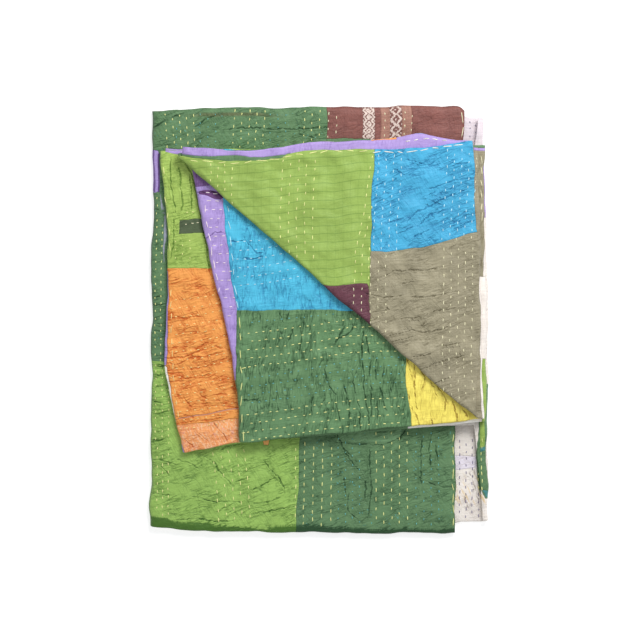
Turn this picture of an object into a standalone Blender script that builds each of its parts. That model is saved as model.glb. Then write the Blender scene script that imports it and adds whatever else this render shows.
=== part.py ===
"""A kantha quilt folded into a packet, with the corner of its top layer turned back.

The quilt is one cloth. It is first doubled along its lower edge, so each layer of the packet is a pair of
sheets with a round fold below and two open hems above. The pair then goes back and forth across X in seven
runs, from the hem at the base's right edge to the hem of the top run, whose lower left corner is turned
over a diagonal fold. X is the packet's width, Y its height as it is looked at from above, and Z is up.
The cloth lies on Z = 0, and the origin is under the middle of its bounding box.
"""

from collections import namedtuple
from math import pi

import bmesh
import bpy
import numpy as np

MM = 0.001

SHEET = 1.8 * MM
PAIR_GAP = 0.4 * MM
RUN_GAP = 0.5 * MM
PAIR = 2 * SHEET + PAIR_GAP
PITCH = PAIR + RUN_GAP

# The radius of the turned corner's fold leaves room inside it for the pair's own thickness.
TURN_RADIUS = PAIR + 0.4 * MM

# The turned corner's fold as seen from above, as two points on its outer edge, in mm.
TURN_START = (-189.5, 215.8)
TURN_END = (200.5, -126.8)

# The height of the gentle swell of the layers, as a share of the height above the surface.
SWELL = 0.05
SWELL_LENGTH = (420 * MM, 520 * MM)

# Every row is a fold or a hem that the path of the cloth meets, in order, in mm.
# side: -1 a fold at the left, 1 a fold at the right, 0 no fold.
# level: the layer, counted from the surface, that the cloth goes on in after this row.
# x: the outermost x at five even heights, from the lower edge to the upper one.
# bow: how far the lower edge of the run after this row hangs below a straight line.
Edge = namedtuple("Edge", "name side level x y_low y_high bow")
EDGES = (
    Edge("base hem", 0, 1, (176, 176, 180, 184, 187), -275, 275, 0),
    Edge("base fold", -1, 0, (-218, -218, -217, -216, -217), -272, 271, 0),
    Edge("cream fold", 1, 2, (219, 218, 219, 216, 211), -262, 263, 0),
    Edge("gather", 0, 2, (201, 201, 201, 201, 201), -136, 226, -8),
    Edge("orange fold", -1, 3, (-178, -197, -197, -199, -208), -172, 220, -9),
    Edge("inner fold", 1, 4, (215, 216, 216, 215, 214), -133, 226, 0),
    Edge("lilac fold", -1, 5, (-104, -112, -132, -153, -169), -159, 220, 0),
    Edge("taupe fold", 1, 6, (212, 210, 209, 207, 204), -129, 224, 8),
    Edge("corner hem", 0, 6, (-158, -161, -173, -172, -189), -174, 220, 0),
)

# Where a run ends in a hem, its upper corner is rounded: how far the upper edge drops, over how much
# of the run's length.
Corner = namedtuple("Corner", "drop share")
BASE_CORNER = Corner(5 * MM, 0.02)
TOP_CORNER = Corner(21 * MM, 0.02)

# How far the upper sheet of the turned corner sticks out past the lower one, along the hem.
Slip = namedtuple("Slip", "height mm")
SLIPS = (Slip(0, 0), Slip(0.05, 4), Slip(0.16, 19), Slip(0.32, 12), Slip(0.56, 10), Slip(0.77, 13), Slip(1, 11))

ROWS = 10
RUN_STEPS = 6
FOLD_STEPS = 5
HEM_FOLD_STEPS = 4
TURN_STEPS = 6


def through(values, at):
    """A smooth curve through evenly spaced values (Catmull-Rom), read at shares from 0 to 1."""
    p = np.array(values, float)
    p = np.concatenate([[2 * p[0] - p[1]], p, [2 * p[-1] - p[-2]]])
    along = np.clip(at, 0, 1) * (len(values) - 1)
    i = np.minimum(along.astype(int), len(values) - 2)
    t = along - i
    a, b, c, d = p[i], p[i + 1], p[i + 2], p[i + 3]
    return b + 0.5 * t * (c - a + t * (2 * a - 5 * b + 4 * c - d + t * (3 * (b - c) + d - a)))


def hem_loop():
    """The closed outline of the doubled cloth across a run: height share v, added y and offset h.

    It goes down one side of the pair, round the lower fold and up the other side, then back inside.
    """
    down = np.linspace(1, 0, ROWS + 1)
    bend = np.linspace(-pi / 2, pi / 2, HEM_FOLD_STEPS + 1)[1:-1]
    halves = []
    for radius in (PAIR / 2, PAIR_GAP / 2):
        v = np.concatenate([down, 0 * bend, down[::-1]])
        dy = np.concatenate([0 * down, -radius * np.cos(bend), 0 * down])
        h = np.concatenate([0 * down - radius, radius * np.sin(bend), 0 * down + radius])
        halves.append(np.stack([v, dy, h]))
    return np.concatenate([halves[0], halves[1][:, ::-1]], axis=1), halves[0].shape[1]


def edge_x(edge, v):
    return through(edge.x, v) * MM


def edge_y(edge, v):
    """The height of the cloth's rows at an edge: the lowest one is where the lower fold begins."""
    low, high = edge.y_low * MM + PAIR / 2, edge.y_high * MM
    return low + (high - low) * v


def fold_radius(before, after):
    return abs(after - before) * PITCH / 2


def run_ends(first, last, level, level_before, v):
    """Where a run's straight part starts and ends in x, inside the folds at both ends."""
    x0, x1 = edge_x(first, v), edge_x(last, v)
    if first.side:
        x0 = x0 - first.side * (fold_radius(level_before, level) + PAIR / 2)
    if last.side:
        x1 = x1 - last.side * (fold_radius(level, last.level) + PAIR / 2)
    return x0, x1


def corner_drop(corner, v, to_hem):
    """The rounded corner: the upper rows drop near the hem; to_hem is the share of the run left."""
    return corner.drop * v**6 * np.clip(1 - to_hem / corner.share, 0, 1) ** 2


def run_place(first, last, ends, share, v):
    """x and y on a run, at a share of its length."""
    x = ends[0] + (ends[1] - ends[0]) * share
    y = edge_y(first, v) + (edge_y(last, v) - edge_y(first, v)) * share
    y = y - first.bow * MM * 4 * share * (1 - share) * (1 - v)
    if first is EDGES[0]:
        y = y - corner_drop(BASE_CORNER, v, share)
    if last is EDGES[-1]:
        y = y - corner_drop(TOP_CORNER, v, 1 - share)
    return x, y


def turn_frame():
    """The turned corner's fold axis: a point on it, its direction, and the way the cloth goes over it."""
    start, end = np.array(TURN_START) * MM, np.array(TURN_END) * MM
    along = (end - start) / np.linalg.norm(end - start)
    across = np.array([along[1], -along[0]])
    return start - TURN_RADIUS * across, along, across


def past_axis(x, y):
    """How far a point of the flat top run lies past the fold's axis."""
    origin, _, across = turn_frame()
    return (x - origin[0]) * across[0] + (y - origin[1]) * across[1]


def turn_over(x, y, w):
    """The top run wrapped over the diagonal fold: round its axis as a cylinder, then back, face down.

    A point s past the axis and w above the run's underside goes round at radius R - w, through the
    angle s / R, and what is left of s past half a turn runs back over the packet.
    """
    _, _, across = turn_frame()
    s = past_axis(x, y)
    angle = np.clip(s / TURN_RADIUS, 0, pi)
    radius = TURN_RADIUS - w
    left = np.maximum(s - pi * TURN_RADIUS, 0)
    out = np.where(s > 0, radius * np.sin(angle) - left, s)
    up = np.where(s > 0, TURN_RADIUS - radius * np.cos(angle), w)
    return x + (out - s) * across[0], y + (out - s) * across[1], up


def turned_shares(first, last, ends, v):
    """Shares of the top run's length, so that the same ones meet the fold in every row."""
    dense = np.linspace(0, 1, 4001)
    shares = []
    for row in range(len(v)):
        row_ends = (ends[0][row], ends[1][row])
        x, y = run_place(first, last, row_ends, dense, v[row])
        s = past_axis(x, y)
        begin = np.clip(np.interp(0, s, dense), 0.004, 0.994)
        end = np.clip(np.interp(pi * TURN_RADIUS, s, dense), begin + 0.001, 0.998)
        flat = np.linspace(0, begin, RUN_STEPS)[:-1]
        bend = np.linspace(begin, end, TURN_STEPS + 1)[:-1]
        back = np.linspace(end, 1, RUN_STEPS)
        shares.append(np.concatenate([flat, bend, back]))
    return np.array(shares).T


def run_rings(first, last, level, level_before, loop):
    """The outlines of the cloth along one run, lying flat."""
    v, dy, h = loop
    ends = run_ends(first, last, level, level_before, v)
    facing = np.sign(ends[1][0] - ends[0][0])
    is_top = last is EDGES[-1]
    if is_top:
        shares = turned_shares(first, last, ends, v)
    elif first is EDGES[0]:
        rounding = np.array([0, 0.3, 0.6]) * BASE_CORNER.share
        shares = np.concatenate([rounding, np.linspace(BASE_CORNER.share, 1, RUN_STEPS + 1)])[:, None]
    else:
        shares = np.linspace(0, 1, RUN_STEPS + 1)[:, None]
    rings = []
    for k, share in enumerate(shares):
        x, y = run_place(first, last, ends, share, v)
        y = y + dy
        w = PAIR / 2 + facing * h
        if is_top:
            back = max(0, k - (len(shares) - RUN_STEPS)) / (RUN_STEPS - 1)
            slip = np.interp(v, [s.height for s in SLIPS], [s.mm * MM for s in SLIPS])
            x = x + facing * slip * back * (h < 0) * (v > 0)
            x, y, w = turn_over(x, y, w)
        rings.append(np.stack([x, y, level * PITCH + w], axis=1))
    return rings


def fold_rings(edge, level_before, loop):
    """The outlines of the cloth round a fold: half a turn about an axis along the edge."""
    v, dy, h = loop
    radius = fold_radius(level_before, edge.level)
    rising = 1 if edge.level > level_before else -1
    middle = (level_before + edge.level) / 2 * PITCH + PAIR / 2
    centre = edge_x(edge, v) - edge.side * (radius + PAIR / 2)
    # The offset h is to the left of the way the path goes, which is inside a fold that turns left.
    inside = edge.side * rising
    rings = []
    for angle in np.linspace(0, pi, FOLD_STEPS + 1)[1:-1]:
        reach = radius - inside * h
        x = centre + edge.side * reach * np.sin(angle)
        z = middle - rising * reach * np.cos(angle)
        rings.append(np.stack([x, edge_y(edge, v) + dy, z], axis=1))
    return rings


def cloth_rings():
    """Every outline along the cloth's path, and how many of an outline's points lie on its outside."""
    loop, outside = hem_loop()
    rings, level_before = [], EDGES[0].level
    for first, last in zip(EDGES, EDGES[1:]):
        if first.side:
            rings += fold_rings(first, level_before, loop)
        run = run_rings(first, last, first.level, level_before, loop)
        rings += run[1:] if rings and not first.side else run
        level_before = first.level
    return np.array(rings), outside


def swell(points):
    """The layers' gentle unevenness: it grows with height, so the underside stays flat."""
    x, y, z = points[..., 0], points[..., 1], points[..., 2]
    wave = np.sin(2 * pi * x / SWELL_LENGTH[0] + 0.6) * np.cos(2 * pi * y / SWELL_LENGTH[1])
    points[..., 2] = z * (1 + SWELL * wave)


def centre(points):
    """The origin goes under the middle of the bounding box."""
    low, high = points.reshape(-1, 3).min(axis=0), points.reshape(-1, 3).max(axis=0)
    points[..., :2] -= (low[:2] + high[:2]) / 2
    points[..., 2] -= low[2]


def loft(name, rings, outside):
    """A closed mesh through the rings, with both ends capped between their outer and inner halves."""
    count = rings.shape[1]
    bm = bmesh.new()
    verts = [[bm.verts.new(p) for p in ring] for ring in rings]
    for this, following in zip(verts, verts[1:]):
        for i in range(count):
            j = (i + 1) % count
            bm.faces.new((this[i], this[j], following[j], following[i]))
    for ring in (verts[0], verts[-1]):
        for i in range(outside - 1):
            j = count - 1 - i
            bm.faces.new((ring[i], ring[i + 1], ring[j - 1], ring[j]))
    bmesh.ops.recalc_face_normals(bm, faces=bm.faces)
    mesh = bpy.data.meshes.new(name)
    bm.to_mesh(mesh)
    bm.free()
    return mesh


def silk(name, colour, roughness):
    material = bpy.data.materials.new(name)
    material.use_nodes = True
    shader = material.node_tree.nodes["Principled BSDF"]
    shader.inputs["Base Color"].default_value = (*colour, 1)
    shader.inputs["Roughness"].default_value = roughness
    shader.inputs["Metallic"].default_value = 0
    return material


def main():
    for old in list(bpy.data.objects):
        bpy.data.objects.remove(old, do_unlink=True)
    collection = bpy.data.collections.new("kantha quilt")
    bpy.context.scene.collection.children.link(collection)
    rings, outside = cloth_rings()
    swell(rings)
    centre(rings)
    mesh = loft("quilt", rings, outside)
    mesh.materials.append(silk("green silk", (0.10, 0.25, 0.11), 0.45))
    mesh.shade_smooth()
    mesh.set_sharp_from_angle(angle=pi / 4)
    collection.objects.link(bpy.data.objects.new("quilt", mesh))


main()
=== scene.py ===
from collections import namedtuple
from math import pi

import bpy
import numpy as np
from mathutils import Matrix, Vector
from mathutils.bvhtree import BVHTree


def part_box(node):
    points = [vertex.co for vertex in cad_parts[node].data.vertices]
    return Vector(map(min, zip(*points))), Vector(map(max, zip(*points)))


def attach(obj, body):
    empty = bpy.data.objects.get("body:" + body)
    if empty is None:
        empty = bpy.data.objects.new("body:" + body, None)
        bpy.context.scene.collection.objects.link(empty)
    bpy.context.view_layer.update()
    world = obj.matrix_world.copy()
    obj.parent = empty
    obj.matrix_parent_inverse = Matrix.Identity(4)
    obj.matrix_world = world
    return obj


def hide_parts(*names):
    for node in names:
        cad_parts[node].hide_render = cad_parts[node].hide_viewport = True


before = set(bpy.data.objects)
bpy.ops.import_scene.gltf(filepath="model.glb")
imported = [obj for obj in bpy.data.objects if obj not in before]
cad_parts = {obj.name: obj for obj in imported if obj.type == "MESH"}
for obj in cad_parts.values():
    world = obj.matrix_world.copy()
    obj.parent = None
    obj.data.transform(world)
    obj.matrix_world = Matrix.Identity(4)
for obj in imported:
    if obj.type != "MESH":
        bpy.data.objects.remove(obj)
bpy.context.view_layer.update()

# The cloth: layers of thin silk that are stitched together into one sheet. It is doubled along its lower
# edge, and the pair is folded back and forth across X in seven runs, with the corner of the last one
# turned over a diagonal fold. Nothing holds it but its own weight.
MM = 0.001
SHEET = 1.8 * MM
PAIR_GAP = 0.4 * MM
RUN_GAP = 0.5 * MM
PAIR = 2 * SHEET + PAIR_GAP
PITCH = PAIR + RUN_GAP
TURN_RADIUS = PAIR + 0.4 * MM
TURN_START = (-189.5, 215.8)
TURN_END = (200.5, -126.8)
SWELL = 0.05
SWELL_LENGTH = (420 * MM, 520 * MM)

# Every row is a fold or a hem that the path meets, in mm: side -1 is a fold at the left and 1 at the
# right, level is the layer that it goes on in, x is given at five even heights, and bow is how far the
# lower edge hangs. part names the part of the cloth from here on.
Edge = namedtuple("Edge", "part side level x y_low y_high bow")
EDGES = (
    Edge("base", 0, 1, (176, 176, 180, 184, 187), -275, 275, 0),
    Edge("cream", -1, 0, (-218, -218, -217, -216, -217), -272, 271, 0),
    Edge("ledge", 1, 2, (219, 218, 219, 216, 211), -262, 263, 0),
    Edge("ledge", 0, 2, (201, 201, 201, 201, 201), -136, 226, -8),
    Edge("orange", -1, 3, (-178, -197, -197, -199, -208), -172, 220, -9),
    Edge("inner", 1, 4, (215, 216, 216, 215, 214), -133, 226, 0),
    Edge("green", -1, 5, (-104, -112, -132, -153, -169), -159, 220, 0),
    Edge("flap", 1, 6, (212, 210, 209, 207, 204), -129, 224, 8),
    Edge("flap", 0, 6, (-158, -161, -173, -172, -189), -174, 220, 0),
)
PARTS = ("base", "cream", "ledge", "orange", "inner", "green", "flap", "tongue")
# The part that a fold's outside looks like, for each edge with a fold.
FOLD_LOOKS = {1: "base", 2: "cream", 4: "orange", 5: "inner", 6: "green", 7: "flap"}
Corner = namedtuple("Corner", "drop share")
BASE_CORNER = Corner(5 * MM, 0.02)
TOP_CORNER = Corner(21 * MM, 0.02)
SLIPS = ((0, 0), (0.05, 4), (0.16, 19), (0.32, 12), (0.56, 10), (0.77, 13), (1, 11))

ROWS = 90
HEM_FOLD_STEPS = 8
FOLD_STEPS = 7
FLAT_STEPS, BEND_STEPS, BACK_STEPS = 6, 11, 60
# Shares of a run's length where its outlines are: close together where the run shows.
STATIONS = (
    np.concatenate([np.linspace(0, 0.02, 5)[:-1], np.linspace(0.02, 1, 77)]),
    np.concatenate([np.linspace(0, 0.88, 6)[:-1], np.linspace(0.88, 1, 10)]),
    np.linspace(0, 1, 6),
    np.linspace(0, 1, 9),
    np.concatenate([np.linspace(0, 0.3, 28)[:-1], np.linspace(0.3, 1, 8)]),
    np.linspace(0, 1, 7),
    np.linspace(0, 1, 72),
)


def through(values, at):
    """A smooth curve through evenly spaced values (Catmull-Rom), read at shares from 0 to 1."""
    p = np.array(values, float)
    p = np.concatenate([[2 * p[0] - p[1]], p, [2 * p[-1] - p[-2]]])
    along = np.clip(at, 0, 1) * (len(values) - 1)
    i = np.minimum(along.astype(int), len(values) - 2)
    t = along - i
    a, b, c, d = p[i], p[i + 1], p[i + 2], p[i + 3]
    return b + 0.5 * t * (c - a + t * (2 * a - 5 * b + 4 * c - d + t * (3 * (b - c) + d - a)))


def hem_loop():
    """Outline of the pair across a run: height share v, added y, offset h and which sheet it is on.

    Down one side of the pair, round the lower fold as a half circle and up the other side, then back
    inside at half as many points, so each inner point lies against every second outer one.
    """
    halves = []
    for radius, rows, bends in ((PAIR / 2, ROWS, HEM_FOLD_STEPS),
        (PAIR_GAP / 2, ROWS // 2, HEM_FOLD_STEPS // 2)):
        down = np.linspace(1, 0, rows + 1)
        bend = np.linspace(-pi / 2, pi / 2, bends + 1)[1:-1]
        v = np.concatenate([down, 0 * bend, down[::-1]])
        dy = np.concatenate([0 * down, -radius * np.cos(bend), 0 * down])
        h = np.concatenate([0 * down - radius, radius * np.sin(bend), 0 * down + radius])
        halves.append(np.stack([v, dy, h, np.sign(h)]))
    return np.concatenate([halves[0], halves[1][:, ::-1]], axis=1), halves[0].shape[1]


def edge_x(edge, v):
    """Where an edge is across X at a share of its height, from its five places."""
    return through(edge.x, v) * MM


def edge_y(edge, v):
    """The rows' height at an edge: the lowest one is where the lower fold begins."""
    low, high = edge.y_low * MM + PAIR / 2, edge.y_high * MM
    return low + (high - low) * v


def fold_radius(before, after):
    """Half the height between two levels of the pile."""
    return abs(after - before) * PITCH / 2


def run_ends(first, last, before, v):
    """Where a run's straight part starts and ends in x, inside the folds at both ends."""
    x0, x1 = edge_x(first, v), edge_x(last, v)
    x0 = x0 - first.side * (fold_radius(before, first.level) + PAIR / 2)
    x1 = x1 - last.side * (fold_radius(first.level, last.level) + PAIR / 2)
    return x0, x1


def run_place(first, last, ends, share, v):
    """x and y on a run: straight between its ends, with a bowed lower edge and rounded hem corners."""
    x = ends[0] + (ends[1] - ends[0]) * share
    y = edge_y(first, v) + (edge_y(last, v) - edge_y(first, v)) * share
    y = y - first.bow * MM * 4 * share * (1 - share) * (1 - v)
    for corner, to_hem, here in ((BASE_CORNER, share, first is EDGES[0]),
        (TOP_CORNER, 1 - share, last is EDGES[-1])):
        if here:
            y = y - corner.drop * v**6 * np.clip(1 - to_hem / corner.share, 0, 1) ** 2
    return x, y


def turn_frame():
    """The diagonal fold's axis: a point on it, and the way the cloth goes over it."""
    start, end = np.array(TURN_START) * MM, np.array(TURN_END) * MM
    along = (end - start) / np.linalg.norm(end - start)
    across = np.array([along[1], -along[0]])
    return start - TURN_RADIUS * across, across


def past_axis(x, y):
    """How far a point of the flat top run lies past the fold's axis."""
    origin, across = turn_frame()
    return (x - origin[0]) * across[0] + (y - origin[1]) * across[1]


def turn_over(x, y, w):
    """The top run over its diagonal fold: past the axis it goes round a cylinder, then back, face down."""
    _, across = turn_frame()
    s = past_axis(x, y)
    angle = np.clip(s / TURN_RADIUS, 0, pi)
    radius = TURN_RADIUS - w
    left = np.maximum(s - pi * TURN_RADIUS, 0)
    out = np.where(s > 0, radius * np.sin(angle) - left, s)
    up = np.where(s > 0, TURN_RADIUS - radius * np.cos(angle), w)
    return x + (out - s) * across[0], y + (out - s) * across[1], up


def turned_shares(first, last, ends, v):
    """Shares of the top run's length, so that the same outlines meet the diagonal in every row."""
    dense = np.linspace(0, 1, 4001)[:, None]
    x, y = run_place(first, last, ends, dense, v)
    s = past_axis(x, y)
    columns = []
    for row in range(len(v)):
        begin = np.clip(np.interp(0, s[:, row], dense[:, 0]), 0.004, 0.994)
        end = np.clip(np.interp(pi * TURN_RADIUS, s[:, row], dense[:, 0]), begin + 0.001, 0.998)
        flat = np.linspace(0, begin, FLAT_STEPS)[:-1]
        bend = np.linspace(begin, end, BEND_STEPS)[:-1]
        columns.append(np.concatenate([flat, bend, np.linspace(end, 1, BACK_STEPS)]))
    return np.array(columns).T


def run_points(first, last, before, share, loop):
    """Points of a run for every station and loop point, lying flat at the run's level."""
    v, dy, h, _ = loop
    ends = run_ends(first, last, before, v)
    facing = np.sign(ends[1][0] - ends[0][0])
    x, y = run_place(first, last, ends, share, v)
    return x, y + dy, PAIR / 2 + facing * h + 0 * x


def fold_points(edge, before, loop):
    """Points of a fold: half a turn about an axis along the edge."""
    v, dy, h, _ = loop
    radius = fold_radius(before, edge.level)
    rising = 1 if edge.level > before else -1
    angle = np.linspace(0, pi, FOLD_STEPS + 1)[1:-1, None]
    reach = radius - edge.side * rising * h
    x = edge_x(edge, v) - edge.side * (radius + PAIR / 2) + edge.side * reach * np.sin(angle)
    z = (before + edge.level) / 2 * PITCH + PAIR / 2 - rising * reach * np.cos(angle)
    return np.stack([x, edge_y(edge, v) + dy + 0 * x, z], axis=-1)


def cloth_points():
    """All outlines along the path as an array (outline, loop point, xyz), with the part each belongs to."""
    loop, outside = hem_loop()
    stack, looks, before = [], [], EDGES[0].level
    for k, (first, last) in enumerate(zip(EDGES, EDGES[1:])):
        if first.side:
            fold = fold_points(first, before, loop)
            stack.append(fold)
            looks += [FOLD_LOOKS[k]] * len(fold)
        if last is EDGES[-1]:
            ends = run_ends(first, last, before, loop[0])
            share = turned_shares(first, last, ends, loop[0])
        else:
            share = STATIONS[k][:, None]
        x, y, w = run_points(first, last, before, share, loop)
        if last is EDGES[-1]:
            back = np.clip((np.arange(len(share)) - (len(share) - BACK_STEPS)) / (BACK_STEPS - 1), 0, 1)[:,
                None]
            slip = np.interp(loop[0], [s[0] for s in SLIPS], [s[1] * MM for s in SLIPS])
            x = x - slip * back * (loop[2] < 0) * (loop[0] > 0)
            x, y, w = turn_over(x, y, w)
        run = np.stack([x, y, first.level * PITCH + w], axis=-1)
        if k and not first.side:
            run = run[1:]
        stack.append(run)
        looks += [first.part] * len(run)
        before = first.level
    return np.concatenate(stack), looks, loop, outside


def cloth_faces(count, around, outside):
    """Quads between neighbouring outlines, and five-sided caps at both hems from outer to inner points."""
    r, i = np.meshgrid(np.arange(count - 1), np.arange(around), indexing="ij")
    j = (i + 1) % around
    quads = np.stack([r * around + i, (r + 1) * around + i, (r + 1) * around + j, r * around + j], axis=-1)
    k = np.arange((outside - 1) // 2)
    inner = around - 1 - k
    cap = np.stack([2 * k, 2 * k + 1, 2 * k + 2, inner - 1, inner], axis=-1)
    return quads.reshape(-1, 4), cap, cap[:, ::-1] + (count - 1) * around


def to_line(x, y, path):
    """Each point's distance in m to a path in mm, and its side of the nearest piece: positive at its right."""
    path = np.array(path, float) * MM
    nearest, across = np.full(x.shape, 1e9), np.zeros(x.shape)
    for a, b in zip(path, path[1:]):
        d = b - a
        t = np.clip(((x - a[0]) * d[0] + (y - a[1]) * d[1]) / (d @ d), 0, 1)
        far = np.hypot(x - a[0] - t * d[0], y - a[1] - t * d[1])
        side = ((x - a[0]) * d[1] - (y - a[1]) * d[0]) / np.sqrt(d @ d)
        across = np.where(far < nearest, side, across)
        nearest = np.minimum(nearest, far)
    return nearest, across


def along_path(path, at):
    """Places at given distances along a path."""
    path = np.array(path, float) * MM
    lengths = np.concatenate([[0], np.cumsum(np.linalg.norm(np.diff(path, axis=0), axis=1))])
    return np.stack([np.interp(at, lengths, path[:, 0]), np.interp(at, lengths, path[:, 1])],
        axis=-1), lengths[-1]


def gap_between(path, other):
    """The least distance between two paths, from 24 even places along each."""
    first, second = (along_path(line, np.linspace(0, 1, 24) * along_path(line, 0)[1])[0]
        for line in (path, other))
    return np.linalg.norm(first[:, None] - second, axis=-1).min()


def inside(x, y, outline):
    """Distance to an outline's edge, positive inside: there a ray crosses the outline an odd number of times."""
    points = np.array(outline, float) * MM
    odd = np.zeros(x.shape, bool)
    for (ax, ay), (bx, by) in zip(points, np.roll(points, -1, axis=0)):
        if ay != by:
            odd ^= ((ay > y) != (by > y)) & (x < (bx - ax) * (y - ay) / (by - ay) + ax)
    return np.where(odd, 1, -1) * to_line(x, y, list(outline) + [outline[0]])[0]


points, looks, LOOP, OUTSIDE = cloth_points()
AROUND = points.shape[1]
quads, first_cap, last_cap = cloth_faces(len(points), AROUND, OUTSIDE)
part_of_ring = np.array([PARTS.index(look) for look in looks])
part_of_vertex = np.repeat(part_of_ring, AROUND).reshape(-1, AROUND)
turned_back = np.arange(len(points)) >= len(points) - BACK_STEPS
part_of_vertex[turned_back[:, None] & (LOOP[2] < 0)] = PARTS.index("tongue")
X, Y, Z = points[..., 0].copy(), points[..., 1].copy(), points[..., 2].copy()

# Where each part's top pair begins in height, so a crease or a lift moves its top and all that lies on it.
FLOOR = {
    "base": PITCH, "cream": 0, "ledge": 2 * PITCH, "orange": 3 * PITCH, "inner": 4 * PITCH,
    "green": 5 * PITCH, "flap": 6 * PITCH + 2 * TURN_RADIUS - PAIR,
}


def up_to(part):
    """0 below the part, 1 above its top sheet, and even in between: it keeps the layers in order."""
    return np.clip((Z - FLOOR[part]) / PAIR, 0, 1)


def rumple(seed, size, waves=14):
    """Soft unevenness: a sum of plane waves of random direction, with lengths of about the given size."""
    rng = np.random.default_rng(seed)
    total = np.zeros(X.shape)
    for turn, phase, length in zip(rng.uniform(0, pi, waves), rng.uniform(0, 2 * pi, waves),
        rng.uniform(0.6, 1.7, waves)):
        total += np.sin(2 * pi * (X * np.cos(turn) + Y * np.sin(turn)) / (length * size) + phase)
    return total / np.sqrt(waves / 2)


# The loft of the base, in mm: how far it rises from its edges, the width of its rounded sides, and the
# line above its lower edge where it starts to turn down, below which the shader also paints shade.
BASE_RISE, SIDE_BORDER = 2.6, 8
TURN_DOWN = ((-218.1, -254.8), (-198.6, -256.8), (-192.1, -260.7), (-155.7, -261.3), (-116.7, -263.9),
    (-84.2, -267.2), (-72.5, -269.1), (-58.2, -262.6), (-29.6, -262.6), (26.3, -265.2), (104.3, -267.8),
    (177.1, -267.8))
base_left = np.interp(Y, [-0.272, -0.136, 0, 0.136, 0.271], np.array(EDGES[1].x) * MM)
base_right = np.interp(Y, [-0.275, -0.137, 0, 0.137, 0.275], np.array(EDGES[0].x) * MM)
turn_down = np.interp(X, *(np.array(TURN_DOWN).T * MM))
from_low = np.clip((Y + 0.2745) / (turn_down + 0.2745), 0, 1)
sides = [np.clip(d / (SIDE_BORDER * MM), 0, 1) for d in (X - base_left, base_right - X, 0.274 - Y)]
rounded = np.prod([1 - (1 - s) ** 2 for s in sides], axis=0)
lift = BASE_RISE * MM * np.sqrt(1 - (1 - from_low) ** 2) * rounded
rise = lift * up_to("base")

# The upper sheet of the green part ends in a hem along the lilac one, a step up of about a sheet.
LILAC_HEM = ((-127.1, 220.3), (-125.8, 160.6), (-123.2, 116.4), (-118.6, 82.5), (-115.4, 57.9),
    (-111.5, 41), (-108.9, 13.7), (-108.4, -78.7), (-107.6, -169.7))
hem_x = np.interp(-Y, [-y * MM for _, y in LILAC_HEM], [x * MM for x, _ in LILAC_HEM])
rise += 1.0 * MM * np.clip((X - hem_x) / (3 * MM) + 0.5, 0, 1) * up_to("green")

# Unevenness of each part in mm: how high, and how long its waves are.
for seed, (part, height, size) in enumerate((
    ("base", 0.35, 42), ("orange", 0.45, 30), ("green", 0.45, 34), ("flap", 0.35, 46), ("cream", 0.3, 26),
)):
    edge_of_base = np.clip(from_low * 1.5, 0, 1) if part == "base" else 1
    uneven = rumple(seed, size * MM) + 0.45 * rumple(seed + 20, size * 0.4 * MM)
    rise += height * MM * uneven * up_to(part) * edge_of_base

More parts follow.
